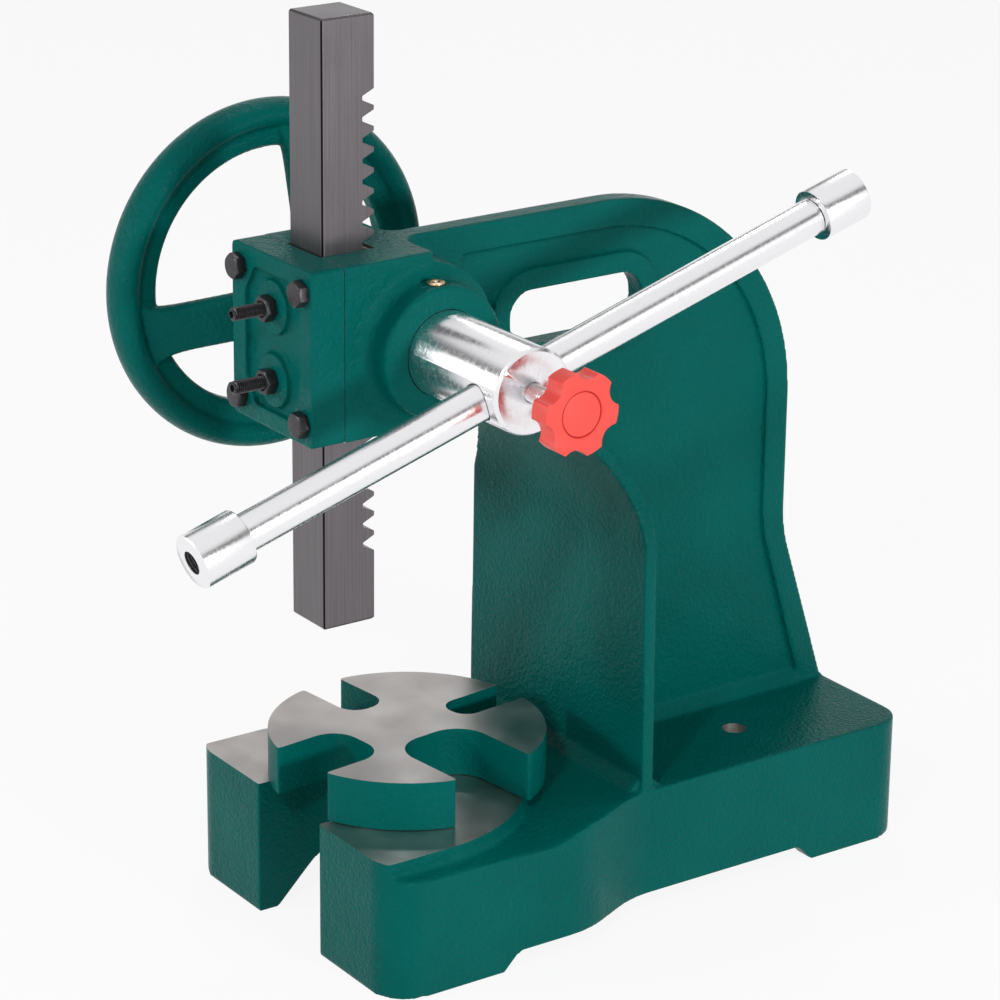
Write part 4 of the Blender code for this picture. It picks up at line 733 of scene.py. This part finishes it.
# Nickel plate over turned steel: near-white mirror, blurred by fine turning lines round the axis.
plated_shaft, shaft_shader = new_material("plated_shaft", Metallic=1.0, Roughness=0.2)
plated_lever, lever_shader = new_material("plated_lever", Metallic=1.0, Roughness=0.2)
lever_tilt = radians(16.94)
for metal, shader, turn, stretch in ((plated_shaft, shaft_shader, 0, (1800, 35, 35)),
                                     (plated_lever, lever_shader, -lever_tilt, (35, 1800, 35))):
    shader.inputs["Base Color"].default_value = colour("F3F2F4")
    spot = add_node(metal, "ShaderNodeTexCoord").outputs["Object"]
    about = add_node(metal, "ShaderNodeMapping", {"Vector": spot, "Rotation": (turn, 0, 0)})
    stretched = add_node(metal, "ShaderNodeMapping", {"Vector": about.outputs["Vector"], "Scale": stretch})
    rings = add_node(metal, "ShaderNodeTexNoise", {"Vector": stretched.outputs["Vector"], "Scale": 1,
                                                   "Detail": 3})
    cloudy = add_node(metal, "ShaderNodeTexNoise", {"Vector": about.outputs["Vector"], "Scale": 700,
                                                    "Detail": 4, "Roughness": 0.7})
    blur = add_node(metal, "ShaderNodeMapRange", {"Value": cloudy.outputs["Fac"], "From Min": 0.35,
                                                  "From Max": 0.7, "To Min": 0.17, "To Max": 0.3})
    feed(shader, "Roughness", blur.outputs["Result"])
    ring_bump = add_node(metal, "ShaderNodeBump", {"Height": rings.outputs["Fac"], "Strength": 0.12,
                                                   "Distance": 0.0001})
    pit_bump = add_node(metal, "ShaderNodeBump", {"Height": cloudy.outputs["Fac"], "Strength": 0.1,
                                                  "Distance": 0.00006, "Normal": ring_bump.outputs["Normal"]})
    feed(shader, "Normal", pit_bump.outputs["Normal"])

shaft_end = 0.1086
shaft_radius = 0.0184
lever_x = 0.0944
key_half = 0.0028
lever_radius = 0.0079
lever_place = Matrix.Translation((lever_x, shaft_centre.y, shaft_centre.z))
lever_way = lever_place @ Matrix.Rotation(lever_tilt, 4, "X")

shaft_profile = [(-0.0630, 0), (-0.0630, 0.0094), (-0.0624, 0.0100), (-0.0468, 0.0100), (-0.0468, 0.0119),
                 (-0.0462, 0.0125), (-0.0141, 0.0125), (-0.0141, 0.01232), (0.0138, 0.01232),
                 (0.0138, shaft_radius - 0.0006), (0.0144, shaft_radius), (shaft_end - 0.0014, shaft_radius),
                 (shaft_end - 0.0010, shaft_radius - 0.0002), (shaft_end, shaft_radius - 0.0014),
                 (shaft_end, 0)]
shaft = part(turned(shaft_profile, "X", shaft_centre, 160), "drive_shaft", plated_shaft)
cross_hole = cylinder(-0.03, 0.03, 0.00825, "Y")
bmesh.ops.transform(cross_hole, matrix=lever_way, verts=cross_hole.verts)
bores = [part(cross_hole, "cross_hole", plated_shaft),
         part(turned([(0.09, 0), (0.09, 0.00415), (0.1079, 0.00415), (0.1099, 0.00615), (0.12, 0.00615),
                      (0.12, 0)], "X", shaft_centre, 48), "stud_hole", plated_shaft),
         part(cylinder(-0.08, -0.0468, 0.00405, "X", shaft_centre, 32), "end_hole", plated_shaft),
         part(block((shaft_centre.y - key_half, shaft_centre.z + 0.0072),
                    (shaft_centre.y + key_half, shaft_centre.z + 0.02), "X", -0.08, -0.0507), "key_seat",
              plated_shaft)]
carve(shaft, bores)
settled(shaft, bores)
teeth = bmesh.new()
teeth.from_mesh(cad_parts["pinion_shaft"].data)
bmesh.ops.translate(teeth, vec=-datum, verts=teeth.verts)
bmesh.ops.remove_doubles(teeth, verts=teeth.verts, dist=0.000002)
for level, outward in ((0.0136, 1), (-0.0137, -1)):
    bmesh.ops.bisect_plane(teeth, geom=teeth.verts[:] + teeth.edges[:] + teeth.faces[:],
                           plane_co=(level, 0, 0), plane_no=(outward, 0, 0), clear_outer=True)
bmesh.ops.holes_fill(teeth, edges=teeth.edges)
bmesh.ops.recalc_face_normals(teeth, faces=teeth.faces)
joined(shaft, [teeth])
finished(shaft, "pinion", "pinion_shaft")


# Lever. A 16 mm bar that slides through the shaft, with a turned cap pressed on each end.
# The clamp screw holds it where it is set.

lever_front, lever_back = -0.1330, 0.1591
rod = turned([(lever_front - 0.0130, 0), (lever_front - 0.0130, 0.0046), (lever_front - 0.0126, 0.0050),
              (lever_front - 0.0002, 0.0050), (lever_front, 0.0077), (lever_front + 0.0002, lever_radius),
              (lever_back - 0.0002, lever_radius), (lever_back, 0.0077), (lever_back + 0.0002, 0.0050),
              (lever_back + 0.0126, 0.0050), (lever_back + 0.0130, 0.0046), (lever_back + 0.0130, 0)], "Y",
             (0, 0, 0), 128)
bmesh.ops.transform(rod, matrix=lever_way, verts=rod.verts)
rod = part(rod, "handle_bar", plated_lever)
finished(rod, "lever", "lever_rod")

# The caps' bores are threaded. Their faces take the dark oxide finish as painted shade for the deep holes.
for node, low, way in (("lever_cap_front", -0.1561, 1), ("lever_cap_rear", 0.1822, -1)):
    outline = [(0, 0.0050), (0, 0.0105), (0.0002, 0.0109), (0.0007, 0.0114), (0.0220, 0.0114),
               (0.0226, 0.0111), (0.0228, 0.0107), (0.0228, 0.00525)]
    for step in range(8):
        outline += [(0.0098 - step * 0.00125, 0.00525), (0.0098 - step * 0.00125 - 0.0006, 0.0048)]
    cap = turned([(low + way * along, radius) for along, radius in outline], "Y", (0, 0, 0), 128)
    bmesh.ops.transform(cap, matrix=lever_way, verts=cap.verts)
    cap = part(cap, node.replace("lever_cap", "grip_cap"), plated_lever)
    # A second slot, dark oxide, painted on the bore's faces as shade inside the hole.
    cap.data.materials.append(black_oxide)
    bore_axis = (lever_way.to_3x3() @ Vector((0, 1, 0))).normalized()
    for face in cap.data.polygons:
        offset = face.center - lever_way.translation
        if (offset - bore_axis * offset.dot(bore_axis)).length < 0.0053:
            face.material_index = 1
    finished(cap, "lever", node)


# Clamp screw and star knob. A plated stud threads into the shaft's end and pinches the lever.
# Its knob is moulded in red nylon with six lobes, and a pressed-in disc closes the moulding's core.

knob_face, knob_back = 0.1415, 0.1317
core, ridge = threaded(0.0039, 0.00125, 0.1026, 0.0318, "X", shaft_centre)
stud = part([core, ridge], "clamp_screw", plated_shaft)
finished(stud, "stud", "clamp_stud", 40)

# Moulded nylon: even warm red, satin, with a slight orange peel and light scattered under the surface.
red_nylon, nylon_shader = new_material("red_nylon", Roughness=0.38, IOR=1.53)
nylon_shader.inputs["Base Color"].default_value = colour("EE4A40")
nylon_shader.inputs["Subsurface Weight"].default_value = 0.12
nylon_shader.inputs["Subsurface Radius"].default_value = (0.003, 0.001, 0.0008)
nylon_shader.inputs["Subsurface Scale"].default_value = 0.6
spot = add_node(red_nylon, "ShaderNodeTexCoord").outputs["Object"]
flow = add_node(red_nylon, "ShaderNodeTexNoise", {"Vector": spot, "Scale": 420, "Detail": 2})
satin = add_node(red_nylon, "ShaderNodeMapRange", {"Value": flow.outputs["Fac"], "To Min": 0.33,
                                                   "To Max": 0.47})
feed(nylon_shader, "Roughness", satin.outputs["Result"])
flow_bump = add_node(red_nylon, "ShaderNodeBump", {"Height": flow.outputs["Fac"], "Strength": 0.1,
                                                   "Distance": 0.0003})
feed(nylon_shader, "Normal", flow_bump.outputs["Normal"])

round_plan = [(0.0175 * cos(2 * pi * step / 144), 0.0175 * sin(2 * pi * step / 144)) for step in range(144)]
knob = part(slab(round_plan, "X", knob_back, knob_face), "lobed_knob", red_nylon)
scallops = []
for number in range(6):
    turn = radians(-9 + 30 + 60 * number)
    scallops.append(part(cylinder(0.12, 0.15, 0.0066, "X", (0, 0.0209 * cos(turn), 0.0209 * sin(turn)), 64),
                         "scallop", red_nylon))
carve(knob, scallops)
settled(knob, scallops)
mould = bmesh.new()
mould.from_mesh(knob.data)
bmesh.ops.remove_doubles(mould, verts=mould.verts, dist=0.00002)
bmesh.ops.dissolve_limit(mould, angle_limit=radians(0.5), verts=mould.verts, edges=mould.edges)
horns = [edge for edge in mould.edges if abs(edge.verts[0].co.x - edge.verts[1].co.x) > 0.005
         and edge.calc_face_angle(0) > radians(30)]
bmesh.ops.bevel(mould, geom=horns, offset=0.0030, segments=8, profile=0.5, affect="EDGES", material=-1)
rims = [edge for edge in mould.edges if abs(edge.verts[0].co.x - edge.verts[1].co.x) < 0.000001
        and edge.calc_face_angle(0) > radians(60)]
bmesh.ops.bevel(mould, geom=rims, offset=0.0009, segments=4, profile=0.5, affect="EDGES", material=-1,
                clamp_overlap=True)
bmesh.ops.translate(mould, vec=shaft_centre, verts=mould.verts)
mould.to_mesh(knob.data)
mould.free()
bores = [part(turned([(0.12, 0), (0.12, 0.0062), (0.1322, 0.0058), (0.1322, 0.0042), (0.1347, 0.0042),
                      (0.1347, 0)], "X", shaft_centre, 64), "knob_bore", red_nylon),
         part(turned([(0.1394, 0), (0.1394, 0.0095), (0.1411, 0.0095), (0.1418, 0.0102), (0.15, 0.0102),
                      (0.15, 0)], "X", shaft_centre), "disc_seat", red_nylon)]
carve(knob, bores)
settled(knob, bores)
finished(knob, "knob", "star_knob", 42)
disc = part(turned([(0.1395, 0), (0.1395, 0.0092), (0.1407, 0.0092), (0.1410, 0.0090), (0.1411, 0.0086),
                    (0.1411, 0)], "X", shaft_centre, 96), "knob_disc", red_nylon)
finished(disc, "knob", "knob_cap", 42)


# Hand wheel. Cast iron with a round rim, a thin inner flange and three dished spokes, enamelled green.
# It is keyed on the back end of the shaft and held by a washer and a bolt.

rim_x, rim_radius = -0.0938, 0.0690
hub_back, hub_front = -0.0626, -0.0471
bead_centre, bead = rim_radius + 0.0035, 0.0065
section = []
for step in range(24):
    turn = 2 * pi * step / 24
    section.append((rim_x + 0.0098 * cos(turn), bead_centre + bead * sin(turn)))
rim = turned(section, "X", shaft_centre, 160)
flange_ring = turned([(rim_x - 0.0050, rim_radius), (rim_x - 0.0050, 0.0596), (rim_x - 0.0034, 0.0582),
                      (rim_x + 0.0034, 0.0582), (rim_x + 0.0050, 0.0596), (rim_x + 0.0050, rim_radius)], "X",
                     shaft_centre, 160)
hub = cylinder(hub_back, hub_front, 0.0200, "X", shaft_centre)
spokes = []
for number in range(3):
    rings = []
    for step in range(17):
        share = step / 16
        radius = 0.0120 + (rim_radius - 0.0120) * share
        half = 0.01075 + 0.0085 * abs(2 * share - 1) ** 5
        x = -0.0542 + (rim_x + 0.0542) * share
        rings.append([(x + thick * 0.00475, across * half, radius)
                      for across, thick in ((-1, -0.45), (-0.86, -1), (0.86, -1), (1, -0.45), (1, 0.45),
                                            (0.86, 1), (-0.86, 1), (-1, 0.45))])
    arm = swept(rings)
    swing = radians(75 + 120 * number) - pi / 2
    bmesh.ops.rotate(arm, cent=(0, 0, 0), matrix=Matrix.Rotation(swing, 3, "X"), verts=arm.verts)
    bmesh.ops.translate(arm, vec=shaft_centre, verts=arm.verts)
    spokes.append(arm)
wheel = part([rim, flange_ring, hub, *spokes], "rim_and_spokes")
cast_skin(wheel, 0.0008, 3, 0.5)
cutters = [part(cylinder(-0.1, 0, 0.01025, "X", shaft_centre, 72), "wheel_bore", machined_iron),
           part(block((shaft_centre.y - key_half, shaft_centre.z),
                      (shaft_centre.y + key_half, shaft_centre.z + 0.0128), "X", -0.08, -0.04), "key_way",
                machined_iron),
           part(block((shaft_centre.y - 0.03, shaft_centre.z - 0.03),
                      (shaft_centre.y + 0.03, shaft_centre.z + 0.03), "X", hub_front - 0.0003,
                      hub_front + 0.01), "hub_face", machined_iron)]
carve(wheel, cutters)
settled(wheel, cutters)
finished(wheel, "pinion", "hand_wheel")
carry("wheel_key", ground_steel, 0.0002)
carry("wheel_washer", plated_shaft, 0.0002)
carry("wheel_bolt", black_oxide, 0.0002)


# Table plate. A cast disc with four notches of different widths, enamelled on its rim and faced on top.
# It turns on a pin in the base, which a nut holds from below.

plate_radius = 0.0610
plate_low, plate_high = 0.0621, 0.0840
notches = ((0.0330, 0.0259, 0.0120), (0.0405, 0.0132, 0.0150), (0.0176, 0.0255, 0.0080),
           (0.0204, 0.0257, 0.0090))
facing_stock = 0.0016
plate = part(cylinder(plate_low - facing_stock, plate_high + facing_stock, plate_radius + 0.0002, "Z",
                      steps=128), "turntable")
cutters = []
for index, (width, inner, corner) in enumerate(notches):
    half = width / 2
    notch = slab([(inner, -half, corner), (0.08, -half), (0.08, half), (inner, half, corner)], "Z", 0.04, 0.1)
    quarter = Matrix.Rotation((index - 1) * pi / 2, 3, "Z")
    bmesh.ops.rotate(notch, cent=(0, 0, 0), matrix=quarter, verts=notch.verts)
    cutters.append(part(notch, "notch"))
carve(plate, cutters)
settled(plate, cutters)
cast_skin(plate, 0.0009, 9, 0.5)
cutters = [part(block((-0.1, -0.1), (0.1, 0.1), "Z", plate_high, 0.1), "faced_top", machined_iron),
           part(block((-0.1, -0.1), (0.1, 0.1), "Z", 0.05, plate_low), "faced_back", machined_iron),
           part(cylinder(0.05, plate_low + 0.0133, 0.00625, "Z", steps=48), "pivot_hole", machined_iron)]
carve(plate, cutters)
settled(plate, cutters)
plate.data.transform(Matrix.Translation((0, table_y, 0)) @ Matrix.Rotation(radians(6.3), 4, "Z"))
finished(plate, "table", "table_plate", 30)
carry("table_pin", plated_shaft, 0.0002)
carry("table_pin_nut", black_oxide, 0.0002)


# Ball oiler. A turned brass cup pressed into the boss, its mouth closed by a sprung steel ball.

cup_top = oiler_seat + 0.0011
cup = part(turned([(oiler_seat - 0.0057, 0.0008), (oiler_seat - 0.0057, 0.0026),
                   (oiler_seat + 0.0003, 0.0026),
                   (oiler_seat + 0.0003, 0.0040), (cup_top - 0.0004, 0.0040), (cup_top - 0.0001, 0.0038),
                   (cup_top, 0.0035), (cup_top, 0.0019), (cup_top - 0.0004, 0.00156),
                   (cup_top - 0.0029, 0.00156), (cup_top - 0.0029, 0.0008)], "Z", oiler_place, 64),
           "oil_cup", turned_brass)
finished(cup, "frame", "oiler_cup", 40)
ball_half = [(cup_top - 0.0013 - 0.0013 * cos(pi * step / 16), max(0.0, 0.0013 * sin(pi * step / 16)))
             for step in range(17)]
ball_half[-1] = (cup_top, 0)
ball = part(turned(ball_half, "Z", oiler_place, 48), "check_ball", plated_shaft)
finished(ball, "frame", "oiler_ball", 60)
